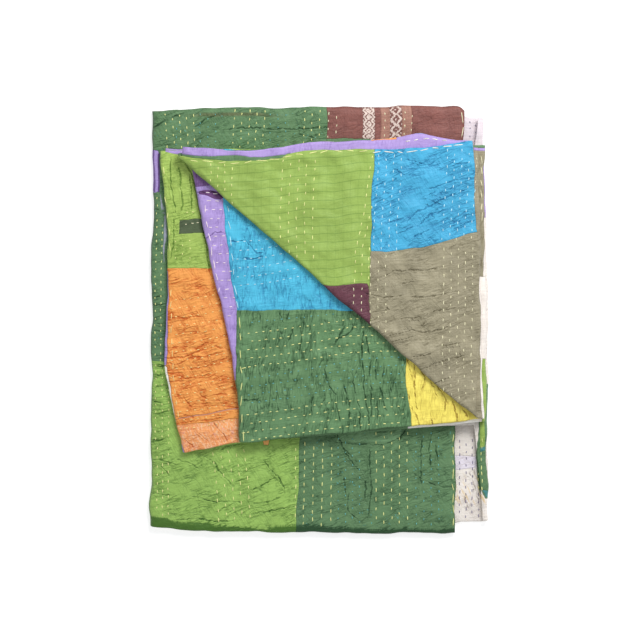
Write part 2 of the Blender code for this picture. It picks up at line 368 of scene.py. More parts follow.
# The creases that stand out, placed one by one: the part, the depth in mm, and the lines, left to right.
CREASES = (
    ("base", 0.9, (
        ((-162.2, 251.6), (-151.8, 258.1), (-141.4, 261.9), (-129.7, 264.6)),
        ((-124.5, 247.1), (-105, 249.3), (-62.1, 249.3), (-12.7, 248.6), (5.5, 250.2)),
        ((-24.8, 241.2), (-10.1, 236.6)), ((-213.5, 250.2), (-205.1, 257.5)),
        ((-192.1, 261.9), (-179.1, 267.2)), ((-158.3, 234.7), (-147.9, 239.8), (-138.8, 238.6)),
        ((-217.3, -182.7), (-203.8, -182.7), (-188.8, -187.1)), ((-205.3, -191.6), (-197.8, -201.4)),
        ((-215.7, -225.3), (-199.4, -227.5)),
        ((-183, -181.2), (-170.9, -184.1), (-157.5, -193.8)),
        ((-166.5, -228.9), (-144, -234.9), (-102.2, -237.9)),
        ((-155.9, -175.9), (-145.5, -179.7), (-138, -184.1), (-129, -200.6), (-115.6, -214)),
        ((-71.6, -184.1), (-64.8, -194.6), (-55.8, -200.6), (-48.4, -217)),
        ((-94.7, -225.9), (-81.3, -218.5), (-61.8, -205)),
        ((-184.4, -259.6), (-166.5, -256.6), (-136.6, -259.6), (-114.1, -259.6)),
        ((-132, -248.4), (-115.6, -240.9)),
        ((-84.2, -251.4), (-46.9, -243.9), (-31.9, -242.5)), ((-70.8, -236.5), (-54.4, -230.5)),
        ((-107.6, -210), (-93.3, -206.1)),
        ((22.7, -149.8), (36.2, -178.2), (48.2, -193.1)), ((31.5, -167.7), (40, -177.5)),
        # This line lies just below the lower edge of the layers above: its dark line is painted shade where that
        # edge meets the base.
        ((28.7, -160.3), (82.5, -161.7), (105, -154.3)), ((103.4, -155.7), (110.8, -143.7)),
        ((65.3, -169.3), (64.5, -187.1), (66.1, -227.5), (63.9, -254.2)),
        ((37, -230.5), (37, -248.4), (49.7, -257.4)),
        ((58.6, -211), (57.9, -228.9)), ((30.2, -208), (32.4, -227.4)),
        ((124.3, -202.2), (146.7, -214), (170.6, -217)),
        ((133.3, -160.3), (131.8, -172.2), (130.3, -211)),
        ((145.3, -148.3), (142.3, -166.3), (143.7, -187.1)),
        ((151.1, -164.5), (153.7, -180.1)), ((-218.1, -13.7), (-203.8, -15)),
        ((-218.1, 29.2), (-207.7, 30.6)), ((-218.1, 18.9), (-201.2, 20.2)),
        ((-218.1, -58.5), (-202.5, -59.1)),
        ((-218.1, -70.9), (-209, -72.2)), ((-214.2, -87.8), (-203.8, -85.2)),
        ((-218.1, -104.7), (-207.7, -107.2)), ((-212.9, -122.9), (-198.6, -119)),
        ((-218.1, -139.8), (-207.7, -141.1)),
        ((-211.6, -156.7), (-197.3, -154.1)), ((-218.1, 145), (-211.6, 143.7)),
        ((-218.1, 95.5), (-210.3, 96.9)), ((-218.1, -3.2), (-209, -4.5)),
    )),
    ("orange", 1.0, (
        ((-196.4, -36), (-173.9, -34.5), (-160.5, -29.2), (-144, -21.8)),
        ((-194.8, -48.8), (-173.9, -47.2), (-155.9, -39.6), (-138, -33.8), (-120.1, -39.6)),
        ((-193.4, -56.2), (-184.4, -57.7), (-169.5, -48.8), (-150, -47.2), (-129, -42.8)),
        ((-179.9, -64.4), (-161.9, -63.6), (-141, -57.7), (-117.1, -48.8)),
        ((-193.4, -68.1), (-184.4, -71.1), (-173.9, -76.3), (-150, -71.1), (-144, -70.3)),
        ((-193.4, -80), (-176.9, -78.7)), ((-191.8, 3.6), (-173.9, 2.9), (-155.9, 5.1)),
        ((-158.9, -95), (-144, -104), (-126, -105.4), (-109.7, -108.4)),
        ((-147, -98), (-129, -96.5), (-123.2, -98)), ((-141, -111.4), (-109.7, -114.4)),
        ((-184.4, -121.2), (-166.5, -124.9)),
        ((-185.8, -133.9), (-158.9, -130.9), (-126, -127.9)), ((-176.9, -101), (-169.5, -111.4)),
        ((-160.9, -38.4), (-147.9, -28.6), (-141.4, -27.9)),
        ((-194.2, 208.3), (-193.4, 172.5), (-190.4, 157.6), (-188.2, 142.6)),
        ((-182.2, 196.3), (-180, 187.3), (-181.4, 172.5), (-177, 154.6), (-180.6, 142.6)),
        # This line runs along the left fold of the green part that lies on the orange one: its dark line is a
        # painted contact shadow under that fold.
        ((-176.5, 207.3), (-170.5, 199.6), (-166.1, 191.8), (-161.5, 172.2), (-154.4, 133.2), (-147.2, 93),
        (-142, 60.5)), ((-168.8, 187.3), (-166.5, 165), (-167.2, 145.6)),
        ((-190.4, 127.7), (-191.2, 97.9), (-192.6, 82.9)),
        ((-157, -146.2), (-147.9, -154.1)), ((-136.2, -135.8), (-124.5, -148.8), (-120.6, -156.7)),
        ((-173.9, -156.7), (-166.1, -163.2)),
    )),
    ("green", 0.8, (
        ((-156.1, 166.5), (-138.1, 165), (-127.7, 159)), ((-145.7, 107.5), (-135.1, 113.5), (-124, 111.3)),
        ((-93.4, 99.3), (-84.4, 88.9), (-77, 87.4)), ((-115.4, 102), (-99.8, 103.4)),
        ((-111.5, 81.2), (-90.7, 80), (-75.1, 82.5)),
        ((-77.7, 11.1), (-78.5, -2.3)), ((-53, 9.8), (-48.6, -0.7)),
        ((-21.8, -3.9), (-24.6, -30.8), (-26.2, -42.8)),
        ((-41.3, 9.8), (-43.9, 2)), ((-36.1, -12.3), (-38.7, -22.8)), ((-57.5, -93.6), (-56, -116)),
        ((-78.5, -131), (-75.5, -141.6)),
        ((-9.8, -101.1), (-12.7, -123.6)), ((30.2, -9.8), (19.8, -30.6)),
        ((44.5, -3.2), (39.3, -15), (27.6, -21.4)), ((-97.2, -103.4), (-82.9, -102)),
        ((55.6, -12.9), (54.9, -38.2), (54.1, -54.7), (57.9, -71.1), (57.1, -93.5), (64.5, -141.3)),
        ((66.1, -48.8), (64.8, -70.9), (66.9, -87.8), (65.3, -123.4)),
        ((31.7, -86.1), (37.6, -108.4), (36.2, -123.4)),
        ((19.7, -108.4), (24.2, -127.9)), ((78.1, -90.5), (84, -116)), ((93, -71.1), (92.2, -90.5)),
        ((43.2, -70.9), (45.8, -94.2), (51, -115)), ((72.5, -55.2), (73.1, -76)),
        ((83.5, -60.5), (82.2, -81.2)), ((49.7, -120.2), (52.3, -139.8)),
        ((6.8, -65.7), (12, -86.5), (18.5, -94.2)), ((74.4, -102), (73.1, -128.1)),
        ((60.1, -24.1), (64, -42.2)),
        ((122.9, -57.7), (124.3, -73.5), (122.5, -94.2), (124.3, -113)), ((113.9, -53.2), (119.9, -72.7)),
        ((136.3, -77.1), (131.9, -92)),
        ((143.8, -75.7), (151.3, -98)), ((151.3, -83.1), (157.6, -93), (164.8, -105.6)),
        ((162.8, -100.8), (161.5, -115)),
        ((172.2, -107), (176.7, -127.9)), ((183.6, -112.5), (188.8, -124.2)),
        ((122.9, -121.9), (128.9, -136.9)), ((142, -123.5), (145.3, -135.5)),
        ((114.7, -99.5), (118.6, -117.7)), ((129, -59.1), (135.5, -70.9)),
    )),
    ("flap", 0.8, (
        ((89.9, 190.5), (95.9, 196.3), (101.7, 191.8), (106.3, 188.9)), ((74.9, 173.9), (83.9, 178.4)),
        ((168.9, 203.8), (177.9, 201.5), (188.4, 202.3)),
        ((143.6, 171), (158.5, 175.5), (176.5, 181.3), (192.7, 182.1)),
        ((151.1, 153), (164.5, 159), (183.9, 165), (200.3, 171)),
        ((113.8, 127.7), (127.2, 141.1), (143.6, 148.6), (160, 156.8)),
        ((127.2, 123.2), (139.2, 135.1), (149.6, 139.6), (158.5, 142.6)), ((103.3, 112.7), (119.7, 120.2)),
        ((122.5, 108.3), (139.2, 117.3)),
        ((171.9, 126.2), (185.4, 132.2), (200.3, 138.1)), ((89.9, 126.2), (104.8, 130.7)),
        ((113.8, 206.8), (130.2, 203.8)),
        ((175.8, 119), (199.2, 128.1)), ((156.3, 165.1), (171.9, 171.6)), ((135.5, 160.6), (148.5, 165.8)),
        ((63.1, 33.5), (84, 28.2), (105, 32)), ((119.9, 29), (158.7, 33.5), (178.2, 36.5)),
        ((90, -20.3), (116.9, -13.5), (134.7, -15.1), (163.2, -9.9)), ((95.9, -27.8), (119.9, -21.8)),
        ((105, 1.4), (128.9, 3.6), (149.7, 12.6), (178.2, 14.8)), ((119.9, -48.8), (142.3, -42.8)),
        ((146.7, -56.2), (164.6, -51.7), (188.6, -47.2)), ((124.3, -65.1), (143.7, -59.1)),
        ((158.7, -32.2), (179.6, -30.8)),
        ((78.1, 54.5), (96, 63.4), (131.8, 64.9), (161.7, 69.4)), ((70.5, 9.8), (88.7, 13.7)),
        ((106.9, 47.5), (122.5, 48.8)),
        ((151.1, -80), (169.3, -74.8)), ((130.3, -7.2), (136.8, -2)),
    )),
    ("cream", 0.5, (((194.7, -200.8), (201.8, -219.1), (209, -238.6)), ((201.2, -198.2), (205.7, -211.2)),
        ((188.8, -230.8), (194, -243.8)))),
)
# Creases that lie close together go in different groups, so the distance to the nearest one of a group
# stays smooth: crease holds, for each group, how far a place is across the nearest crease and how near.
CREASE_SPREAD, CREASE_GROUPS, CREASE_APART = 3.2 * MM, 5, 12 * MM
crease = np.zeros((CREASE_GROUPS, *X.shape, 3))
crease[..., 0] = 0.1
groups_used = {}
for part, depth, lines in CREASES:
    own = part_of_vertex == PARTS.index(part)
    nearest = np.full((CREASE_GROUPS, *X.shape), 1e9)
    taken = [[] for _ in range(CREASE_GROUPS)]
    for line in lines:
        far, side = to_line(X, Y, line)
        rise -= 0.7 * depth * MM * np.exp(-((far / CREASE_SPREAD) ** 2)) * up_to(part)
        gaps = [min((gap_between(line, other) for other in others), default=1) for others in taken]
        free = next((g for g, gap in enumerate(gaps) if gap > CREASE_APART), int(np.argmax(gaps)))
        taken[free].append(line)
        closer = own & (far < nearest[free])
        crease[free, closer, 0] = side[closer]
        crease[free, closer, 1] = np.exp(-((far[closer] / (1.5 * CREASE_SPREAD)) ** 2))
        nearest[free] = np.minimum(nearest[free], far)
    groups_used[part] = sum(len(others) > 0 for others in taken)

# The layer in orange lies over a hem of another colour that shows along its left side: the middle of that
# hem, half its length, how far it comes out, and the line that it starts to come out from.
HEM_MIDDLE, HEM_HALF, HEM_OUT, HEM_LINE = -45 * MM, 90 * MM, 3.2 * MM, -180 * MM
show = np.exp(-(((Y - HEM_MIDDLE) / HEM_HALF) ** 4))
show *= np.clip((Z / PITCH - 2) * 2, 0, 1) * np.clip((4.3 - Z / PITCH) * 2, 0, 1)
points[..., 0] -= HEM_OUT * show * np.clip((HEM_LINE - X) / (5 * HEM_OUT), 0, 1)

# The base runs out past its folds here and there: places along its left, upper and lower edges, and how far
# out, all in mm.
LEFT_OUT = (
    (-270, 2.6), (-241, 3.9), (-222, 2.2), (-157, 2), (-105, 2), (-59, 1.7), (-27, 2.6), (-1, 1.3),
    (25, 2), (45, 3.9), (71, 3.9), (103, 2), (136, 1.3), (168, 0.7), (220, 1.3), (270, 2.6),
)
UPPER_OUT = ((-218, -0.7), (-188, 2.9), (-156, 3.9), (-136, 4.5), (-91, 3.9), (176, 3.9), (187, 2.6),
    (192, 0))
LOWER_OUT = ((-219, -1.7), (-201, -1.3), (-182, 0), (-156, 2.1), (-104, 3.2), (-52, 2.6), (26, 3.4),
    (104, 3.2), (176, 2), (182, 0))
OUT_BORDER = 14 * MM
of_base = np.clip((2.3 - Z / PITCH) * 5, 0, 1)
for axis, sign, along, out, edge in (
    (0, -1, Y, LEFT_OUT, 200 * MM), (1, 1, X, UPPER_OUT, 250 * MM), (1, -1, X, LOWER_OUT, 250 * MM)
):
    here = np.clip((sign * (X, Y)[axis] - edge) / OUT_BORDER, 0, 1)
    points[..., axis] += sign * here * of_base * np.interp(along, *(np.array(out).T * MM))

# The cloth's edges wave a little, each layer in its own way, and the pile swells gently. Each wave has its
# height and its length in mm, and how far it shifts from layer to layer.
EDGE_WAVES = ((0.7, 113, 0.9), (0.5, 67, 2.3), (0.3, 37, 1.7), (0.2, 23, 3.1))
layer = Z / PITCH
for axis, along, seed in ((0, Y, 5), (1, X, 6)):
    for height, length, phase in EDGE_WAVES:
        place_on_wave = 2 * pi * along / (length * MM) + seed + phase * (1 + 0.4 * layer)
        points[..., axis] += height * MM * np.sin(place_on_wave)
points[..., 2] += rise
wave = np.sin(2 * pi * points[..., 0] / SWELL_LENGTH[0] + 0.6) * np.cos(2 * pi
    * points[..., 1] / SWELL_LENGTH[1])
points[..., 2] *= 1 + SWELL * wave

low, high = points.reshape(-1, 3).min(axis=0), points.reshape(-1, 3).max(axis=0)
node_low, node_high = (np.array(corner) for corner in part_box("quilt"))
SHIFT = np.array([*((node_low + node_high) / 2 - (low + high) / 2)[:2], -low[2]])
points += SHIFT

mesh = bpy.data.meshes.new("kantha_cloth")
mesh.from_pydata(points.reshape(-1, 3).tolist(), [],
    quads.tolist() + first_cap.tolist() + last_cap.tolist())
ring_of_face = quads[:, 0] // AROUND
loop_of_face = quads[:, 0] % AROUND
face_parts = part_of_vertex[ring_of_face, loop_of_face]
cap_parts = [np.full(len(cap), PARTS.index(part)) for cap,
    part in ((first_cap, "base"), (last_cap, "flap"))]
face_parts = np.concatenate([face_parts, *cap_parts])
mesh.polygons.foreach_set("material_index", face_parts.astype(np.int32))
mesh.polygons.foreach_set("use_smooth", np.ones(len(mesh.polygons), bool))


def keep(mesh, name, values):
    """Stores one number, or a row of three, for every vertex of a mesh."""
    kind, field = ("FLOAT_VECTOR", "vector") if values.shape[-1] == 3 else ("FLOAT", "value")
    attribute = mesh.attributes.new(name, kind, "POINT")
    attribute.data.foreach_set(field, values.astype(np.float32).ravel())


keep(mesh, "cloth", np.stack([X, Y, 0.3 * Z], axis=-1))
for number, values in enumerate(crease):
    keep(mesh, f"crease {number}", values)
normals = np.zeros(len(mesh.vertices) * 3, np.float32)
mesh.vertex_normals.foreach_get("vector", normals)
# Steepness of the cloth at each vertex, for shade painted along every edge and fold.
keep(mesh, "steep", 1 - np.abs(normals[2::3]))
# How far the base lies below the line where it turns down to its lower fold, where the shader paints shade;
# elsewhere -0.1, with none.
keep(mesh, "turning down", np.where(part_of_vertex == PARTS.index("base"), turn_down - Y, -0.1))
cloth = bpy.data.objects.new("kantha_cloth", mesh)
bpy.context.scene.collection.objects.link(cloth)


# The patches: silk cut from old saris, each dyed its own colour, some with woven border bands, sewn edge to
# edge. Each has its ground colour, the darker colour of shade painted in its folds, how much it puckers, its
# thread and its finish.
def srgb(red, green, blue):
    """A colour of 0 to 255 as the linear values that shaders use."""
    c = np.array([red, green, blue]) / 255
    return tuple(np.where(c <= 0.04045, c / 12.92, ((c + 0.055) / 1.055) ** 2.4))


# Each silk's own colour, and a darker one that the shader paints as shade in its folds, wrinkles and creases.
LIME, LIME_SHADE = srgb(152, 180, 88), srgb(88, 124, 40)
LEAF, LEAF_SHADE = srgb(158, 196, 98), srgb(66, 106, 34)
GREEN, GREEN_SHADE = srgb(100, 136, 94), srgb(36, 72, 40)
BLUE, BLUE_SHADE = srgb(74, 176, 218), srgb(30, 112, 160)
LILAC, LILAC_SHADE = srgb(180, 156, 218), srgb(116, 84, 160)
TAUPE, TAUPE_SHADE = srgb(160, 152, 126), srgb(104, 96, 72)
CREAM, CREAM_SHADE = srgb(246, 238, 230), srgb(176, 160, 150)
ORANGE, ORANGE_SHADE = srgb(250, 168, 86), srgb(206, 98, 32)
MAROON, MAROON_SHADE = srgb(134, 84, 76), srgb(84, 44, 42)

Patch = namedtuple("Patch", "part name colour fold pucker thread finish outline")
PATCHES = (
    Patch("base", "ground", GREEN, GREEN_SHADE, 0.6, "yellow", "teal specks", None),
    Patch("base", "maroon", MAROON, MAROON_SHADE, 0.35, "cream", "slubs",
        ((8.5, 298.4), (234.3, 298.4), (234.3, 207.3), (8.5, 207.3))),
    Patch("base", "diamonds", MAROON, MAROON_SHADE, 0.3, "cream", "diamonds",
        ((54.9, 298.4), (70.5, 298.4), (70.5, 207.3), (54.9, 207.3))),
    Patch("base", "tan", srgb(168, 122, 106), srgb(120, 76, 64), 0.3, "cream", "slubs",
        ((78.3, 298.4), (118.6, 298.4), (118.6, 207.3), (78.3, 207.3))),
    Patch("base", "zigzag", srgb(168, 122, 106), srgb(120, 76, 64), 0.3, "", "zigzag",
        ((90, 298.4), (105.6, 298.4), (105.6, 207.3), (90, 207.3))),
    Patch("base", "leaf", LEAF, LEAF_SHADE, 0.62, "yellow", "plain",
        ((-233.7, -54), (-26.3, -54), (-26.3, -155.3), (-31.5, -286.7), (-233.7, -286.7))),
    Patch("base", "strip edge", srgb(172, 176, 194), GREEN_SHADE, 0.3, "", "plain",
        ((-206.4, 168.3), (-203.3, 168.3), (-199.1, 103.4), (-198.8, 67), (-201.7, 67), (-203, 103.4),
        (-207.2, 148.8))),
    Patch("base", "lilac", LILAC, LILAC_SHADE, 0.3, "pink", "plain",
        ((-220.7, 220.3), (-208.2, 220.3), (-208.2, 165.8), (-213.4, 165.1), (-220.7, 165.8))),
    Patch("base", "left fold", srgb(96, 72, 124), LILAC_SHADE, 0.2, "", "plain",
        ((-220.7, 220.3), (-214.4, 220.3), (-213.4, 165.8), (-220.7, 165.8))),
    Patch("base", "right fold", srgb(96, 72, 124), LILAC_SHADE, 0.2, "", "plain",
        ((-209.5, 216.5), (-207.4, 216.5), (-207.9, 165.8), (-210, 165.8))),
    Patch("base", "lilac end", LILAC, LILAC_SHADE, 0.3, "", "plain",
        ((-200.4, 223.1), (-173.9, 223), (-173.9, 212.6), (-200.4, 212.6))),
    Patch("base", "green rim", GREEN, GREEN_SHADE, 0.3, "", "plain",
        ((-1, 235.7), (66, 236.3), (66, 225.6), (-1, 225.6))),
    Patch("base", "glimpse", srgb(255, 186, 110), ORANGE_SHADE, 0.1, "", "plain",
        ((-75.3, -151.5), (-64.7, -151.5), (-66.5, -161.6), (-72.5, -161.8))),
    # Painted light: the ground is painted paler in a band just below the lower edge of the layers above, to
    # lighten the shadow that edge casts.
    Patch("base", "pale band", srgb(122, 162, 116), GREEN_SHADE, 0.5, "yellow", "teal specks",
        ((18.5, -138.5), (106.9, -135.8), (104.3, -157.4), (22.4, -159))),
    Patch("cream", "ground", CREAM, CREAM_SHADE, 0.36, "grey", "streaks", None),
    Patch("ledge", "ground", CREAM, CREAM_SHADE, 0.32, "grey", "streaks", None),
    Patch("ledge", "hidden end", LEAF, LEAF_SHADE, 0.3, "", "plain",
        ((-285.7, 298.4), (156.3, 298.4), (156.3, -195.7), (-285.7, -195.7))),
    Patch("orange", "ground", ORANGE, ORANGE_SHADE, 1.0, "gold", "plain", None),
    Patch("orange", "lime", srgb(170, 198, 98), srgb(96, 132, 44), 0.6, "yellow", "plain",
        ((-233.7, 298.4), (-51.7, 298.4), (-51.7, 67.6), (-233.7, 67.6))),
    Patch("orange", "lilac end", LILAC, LILAC_SHADE, 0.3, "", "plain",
        ((-201.2, 233.3), (-173.9, 233.3), (-173.9, 213.3), (-201.2, 218.8))),
    Patch("orange", "charcoal", srgb(84, 98, 70), srgb(50, 60, 40), 0.4, "cream", "plain",
        ((-182.3, 130), (-136.2, 133.2), (-136.2, 114.4), (-183.9, 112.1))),
    Patch("orange", "band", srgb(246, 166, 104), srgb(208, 110, 56), 0.6, "gold", "flecks",
        ((-201.2, -137.8), (-184.3, -136.4), (-106.3, -128.7), (-77.7, -126.8), (-77.7, -202.2),
        (-201.2, -202.2))),
    Patch("orange", "lilac thread", srgb(222, 162, 140), ORANGE_SHADE, 0.2, "", "plain",
        ((-183, -127), (-108.2, -114.9), (-103.7, -115.8), (-183, -128.3))),
    Patch("orange", "upper edge", LILAC, LILAC_SHADE, 0.2, "", "plain",
        ((-220.7, 64.4), (-196.5, 64.4), (-195.7, 38.4), (-195.2, -13.7), (-195.5, -59.1),
        (-220.7, -59.1))),
    Patch("orange", "middle edge", srgb(255, 248, 238), CREAM, 0.2, "", "plain",
        ((-220.7, -59.1), (-195.2, -59.1), (-191.3, -104.7), (-185.1, -137.2), (-183, -152.8),
        (-220.7, -159.2))),
    Patch("orange", "lower edge", LILAC, LILAC_SHADE, 0.2, "", "plain",
        ((-220.7, -156.7), (-183.5, -148.8), (-180.9, -158), (-174.7, -173.6), (-176.5, -195.7),
        (-220.7, -195.7))),
    Patch("orange", "hidden end", GREEN, GREEN_SHADE, 0.3, "", "plain",
        ((-102.4, -78.7), (234.3, -78.7), (234.3, -195.7), (-102.4, -195.7))),
    Patch("orange", "right end", GREEN, GREEN_SHADE, 0.5, "", "plain",
        ((13.3, 298.4), (234.3, 298.4), (234.3, 25.4), (13.3, 25.4))),
    Patch("inner", "ground", TAUPE, TAUPE_SHADE, 0.5, "cream", "plain", None),
    Patch("inner", "tab", GREEN, GREEN_SHADE, 0.4, "", "plain",
        ((169.3, 259.4), (234.3, 259.4), (234.3, 222.2), (169.3, 222.2))),
    Patch("inner", "tab edge", LILAC, LILAC_SHADE, 0.2, "", "plain",
        ((169.3, 222.2), (234.3, 222.2), (234.3, 218.5), (169.3, 218.5))),
    Patch("inner", "lilac edge", LILAC, LILAC_SHADE, 0.2, "", "plain",
        ((213.3, 199.6), (234.3, 199.6), (234.3, 132), (213.5, 132))),
    Patch("inner", "cream edge", CREAM, CREAM_SHADE, 0.2, "", "plain",
        ((213, 132), (234.3, 132), (234.3, 55.2), (213, 55.2))),
    Patch("inner", "cream face", CREAM, CREAM_SHADE, 0.2, "", "plain",
        ((205.7, 55.2), (234.3, 55.2), (234.3, -51.4), (205.7, -51.4))),
    Patch("inner", "lower green", GREEN, GREEN_SHADE, 0.3, "", "plain",
        ((-220.7, -78.7), (114.7, -78.7), (114.7, -195.7), (-220.7, -195.7))),
    Patch("inner", "lower cream", srgb(255, 252, 246), CREAM, 0.3, "", "plain",
        ((114.7, -104.7), (207, -104.7), (207, -195.7), (114.7, -195.7))),
    Patch("inner", "cream side", CREAM, CREAM_SHADE, 0.2, "", "plain",
        ((207, -51.4), (234.3, -51.4), (234.3, -143.7), (207, -143.7))),
    Patch("inner", "lime end", LIME, LIME_SHADE, 0.3, "", "plain",
        ((211.2, -51.4), (216.4, -51.4), (216.4, -195.7), (209.6, -195.7))),
    Patch("inner", "dark side", GREEN, GREEN_SHADE, 0.3, "", "plain",
        ((216.1, -83.9), (234.3, -83.9), (234.3, -195.7), (216.1, -195.7))),
    Patch("green", "ground", srgb(106, 145, 100), GREEN_SHADE, 0.75, "yellow", "plain", None),
    Patch("green", "blue", srgb(80, 190, 224), BLUE_SHADE, 0.6, "cyan", "plain",
        ((-220.7, 298.4), (234.3, 298.4), (234.3, 13), (-220.7, 13))),
    Patch("green", "lilac", LILAC, LILAC_SHADE, 0.35, "pink", "plain",
          ((-220.7, 298.4), (-127.1, 298.4), (-125.8, 160.6), (-123.2, 116.4), (-118.6, 82.5),
          (-115.4, 57.9), (-111.5, 41), (-108.9, 13.7), (-108.4, -78.7), (-123.2, -78.7), (-220.7, 25.4))),
    Patch("green", "purple", srgb(134, 100, 158), srgb(80, 46, 96), 0.5, "pink", "plain",
        ((-175.2, 207.3), (-151.8, 207.3), (-134.9, 174.2), (-168.7, 172.9))),
    Patch("green", "dark band", srgb(108, 66, 122), srgb(66, 34, 76), 0.4, "pink", "plain",
          ((-157, 168.3), (-145.3, 168.3), (-127.1, 163.9), (-123.4, 154.6), (-137.5, 155.9),
          (-147.9, 161.8), (-157, 163.2))),
    Patch("green", "yellow", srgb(250, 232, 108), srgb(150, 112, 22), 0.36, "", "plain",
          ((111.5, 25.4), (111.5, -46.1), (112.1, -85.2), (116, -117.7), (118.6, -138.5), (118.6, -182.7),
          (234.3, -182.7), (234.3, 25.4))),
    Patch("flap", "ground", LIME, LIME_SHADE, 0.14, "yellow", "lines", None),
    Patch("flap", "upper hem", GREEN, GREEN_SHADE, 0.3, "", "plain",
          ((-192.1, 233.3), (-38.7, 233.3), (-46.5, 211.2), (-64.7, 207.9), (-84.2, 206.8), (-108.9, 206.6),
          (-144, 206.8), (-160.9, 208.9), (-176.5, 212.3), (-186.9, 215.2))),
    Patch("flap", "blue", BLUE, BLUE_SHADE, 0.75, "cyan", "plain",
          ((70.5, 298.4), (70.5, 220.3), (67.9, 174.8), (66.6, 129.3), (65.3, 90.4), (65.7, 87.4),
          (84.8, 87.8), (104.3, 90.4), (130.3, 94.2), (156.3, 100.8), (182.3, 107.2), (203.1, 113.8),
          (234.3, 121.5), (234.3, 298.4))),
    Patch("flap", "taupe", TAUPE, TAUPE_SHADE, 0.55, "cream", "slubs",
          ((64.7, 89), (84.8, 87.8), (104.3, 90.4), (130.3, 94.2), (156.3, 100.8), (182.3, 107.2),
          (203.1, 113.8), (234.3, 121.5), (234.3, -182.7), (64.7, -182.7))),
    Patch("flap", "strip", TAUPE, TAUPE_SHADE, 0.4, "cream", "slubs",
        ((197.7, 239.8), (197.7, 230.8), (200.5, 174.8), (201.8, 112.5), (234.3, 120.2), (234.3, 246.3))),
    Patch("flap", "tab", GREEN, GREEN_SHADE, 0.3, "", "plain",
        ((198.4, 246.3), (234.3, 246.3), (234.3, 222.2), (198.4, 222.2))),
    Patch("flap", "tab edge", LILAC, LILAC_SHADE, 0.2, "", "plain",
        ((198.7, 222.2), (234.3, 222.2), (234.3, 218.5), (199, 218.5))),
    Patch("flap", "lilac edge", LILAC, LILAC_SHADE, 0.2, "", "plain",
        ((213.3, 199.6), (234.3, 199.6), (234.3, 132), (213.5, 132))),
    Patch("flap", "plum", srgb(106, 62, 74), srgb(62, 32, 42), 0.5, "cream", "slubs",
        ((-25.7, 44.9), (18.5, 45.5), (64.5, 47.2), (65.3, -182.7), (-25.7, -182.7))),
    Patch("flap", "right side", CREAM, CREAM_SHADE, 0.2, "", "plain",
        ((207.3, 55.2), (234.3, 55.2), (234.3, -146.2), (209.1, -146.2))),
    Patch("tongue", "ground", LILAC, LILAC_SHADE, 0.3, "pink", "plain", None),
    Patch("tongue", "right side", CREAM, CREAM_SHADE, 0.2, "", "plain",
        ((195.3, 55.2), (234.3, 55.2), (234.3, -146.2), (195.3, -146.2))),
    Patch("tongue", "lime side", LIME, LIME_SHADE, 0.3, "", "plain",
        ((212.5, -51.4), (234.3, -51.4), (234.3, -135.8), (209.9, -135.8))),
    Patch("tongue", "under hem", GREEN, GREEN_SHADE, 0.3, "", "plain",
          ((-192.1, 216.5), (-186.9, 215.8), (-162.2, 212.6), (-149.2, 210.5), (-136.2, 211),
          (-119.3, 214.1), (-103.7, 213.8), (-88.1, 211.2), (-69.9, 211), (-38.7, 216.2), (-38.7, 207.3),
          (-75.1, 200.8), (-140.1, 199.6), (-192.1, 204.8))),
    Patch("tongue", "green rim", GREEN, GREEN_SHADE, 0.3, "", "plain",
        ((-2.3, 246.3), (66.6, 246.3), (66.6, 233), (32.8, 232.6), (-2.3, 231.3))),
    Patch("tongue", "orange rim", ORANGE, ORANGE_SHADE, 0.3, "", "plain",
        ((66.6, 246.3), (99.1, 246.3), (99.1, 234.1), (66.6, 231.8))),
)
# The turned-in end of the layer below shows as a narrow strip, lime and then green, at the lower right.
STRIP = ((207.8, -83.9), (207.5, -135.8), (205.2, -156.7), (202.9, -180.1), (204.4, -210), (206.8, -221.7),
    (215.6, -234.7), (218.2, -234.7), (218.5, -215.2), (215.9, -186.6), (216.4, -165.8), (218.2, -135.8),
    (218.7, -83.9))
STRIP_CORE = ((209.4, -52.6), (208.1, -167.1), (214.3, -167.1), (216.1, -52.6))
TEAL_ENDS = ((208.8, -166.3), (215.6, -165.8), (215.6, -170.4), (208.6, -172.2)), ((210.4, -221.7),
    (218.5, -223), (217.9, -232.1), (214.3, -230))
for part in ("cream", "ledge"):
    PATCHES += (
        Patch(part, "upper end", srgb(226, 214, 220), CREAM_SHADE, 0.16, "grey", "plain",
            ((175.8, 285.4), (234.3, 285.4), (234.3, 220.3), (175.8, 220.3))),
        Patch(part, "lilac tint", srgb(234, 226, 238), CREAM_SHADE, 0.3, "grey", "plain",
            ((174.5, -176.2), (203.1, -177.5), (203.1, -191.8), (174.5, -195.7))),
        Patch(part, "strip", GREEN, GREEN_SHADE, 0.5, "yellow", "teal specks", STRIP),
        Patch(part, "strip core", LIME, LIME_SHADE, 0.4, "yellow", "plain", STRIP_CORE),
        Patch(part, "teal end", srgb(74, 140, 140), GREEN_SHADE, 0.3, "", "plain", TEAL_ENDS[0]),
        Patch(part, "teal tip", srgb(74, 140, 140), GREEN_SHADE, 0.3, "", "plain", TEAL_ENDS[1]),
    )
for patch in PATCHES:
    if patch.outline and len(patch.outline) > 4:
        keep(mesh, f"{patch.part} {patch.name}", inside(X, Y, patch.outline))


def node(tree, kind, settings=(), **sockets):
    """Adds a shader node. Each keyword sets or links the input of that name, with _ for a space."""
    made = tree.nodes.new("ShaderNode" + kind)
    for name, value in settings:
        setattr(made, name, value)
    for name, value in sockets.items():
        join(tree, value, made.inputs[name.replace("_", " ")])
    return made


def join(tree, value, socket):
    """Links a socket, or sets it to a plain value; a colour gets its alpha."""
    if isinstance(value, bpy.types.NodeSocket):
        tree.links.new(value, socket)
    elif hasattr(socket.default_value, "__len__") and len(socket.default_value) == 4:
        socket.default_value = (*value[:3], 1)
    else:
        socket.default_value = value


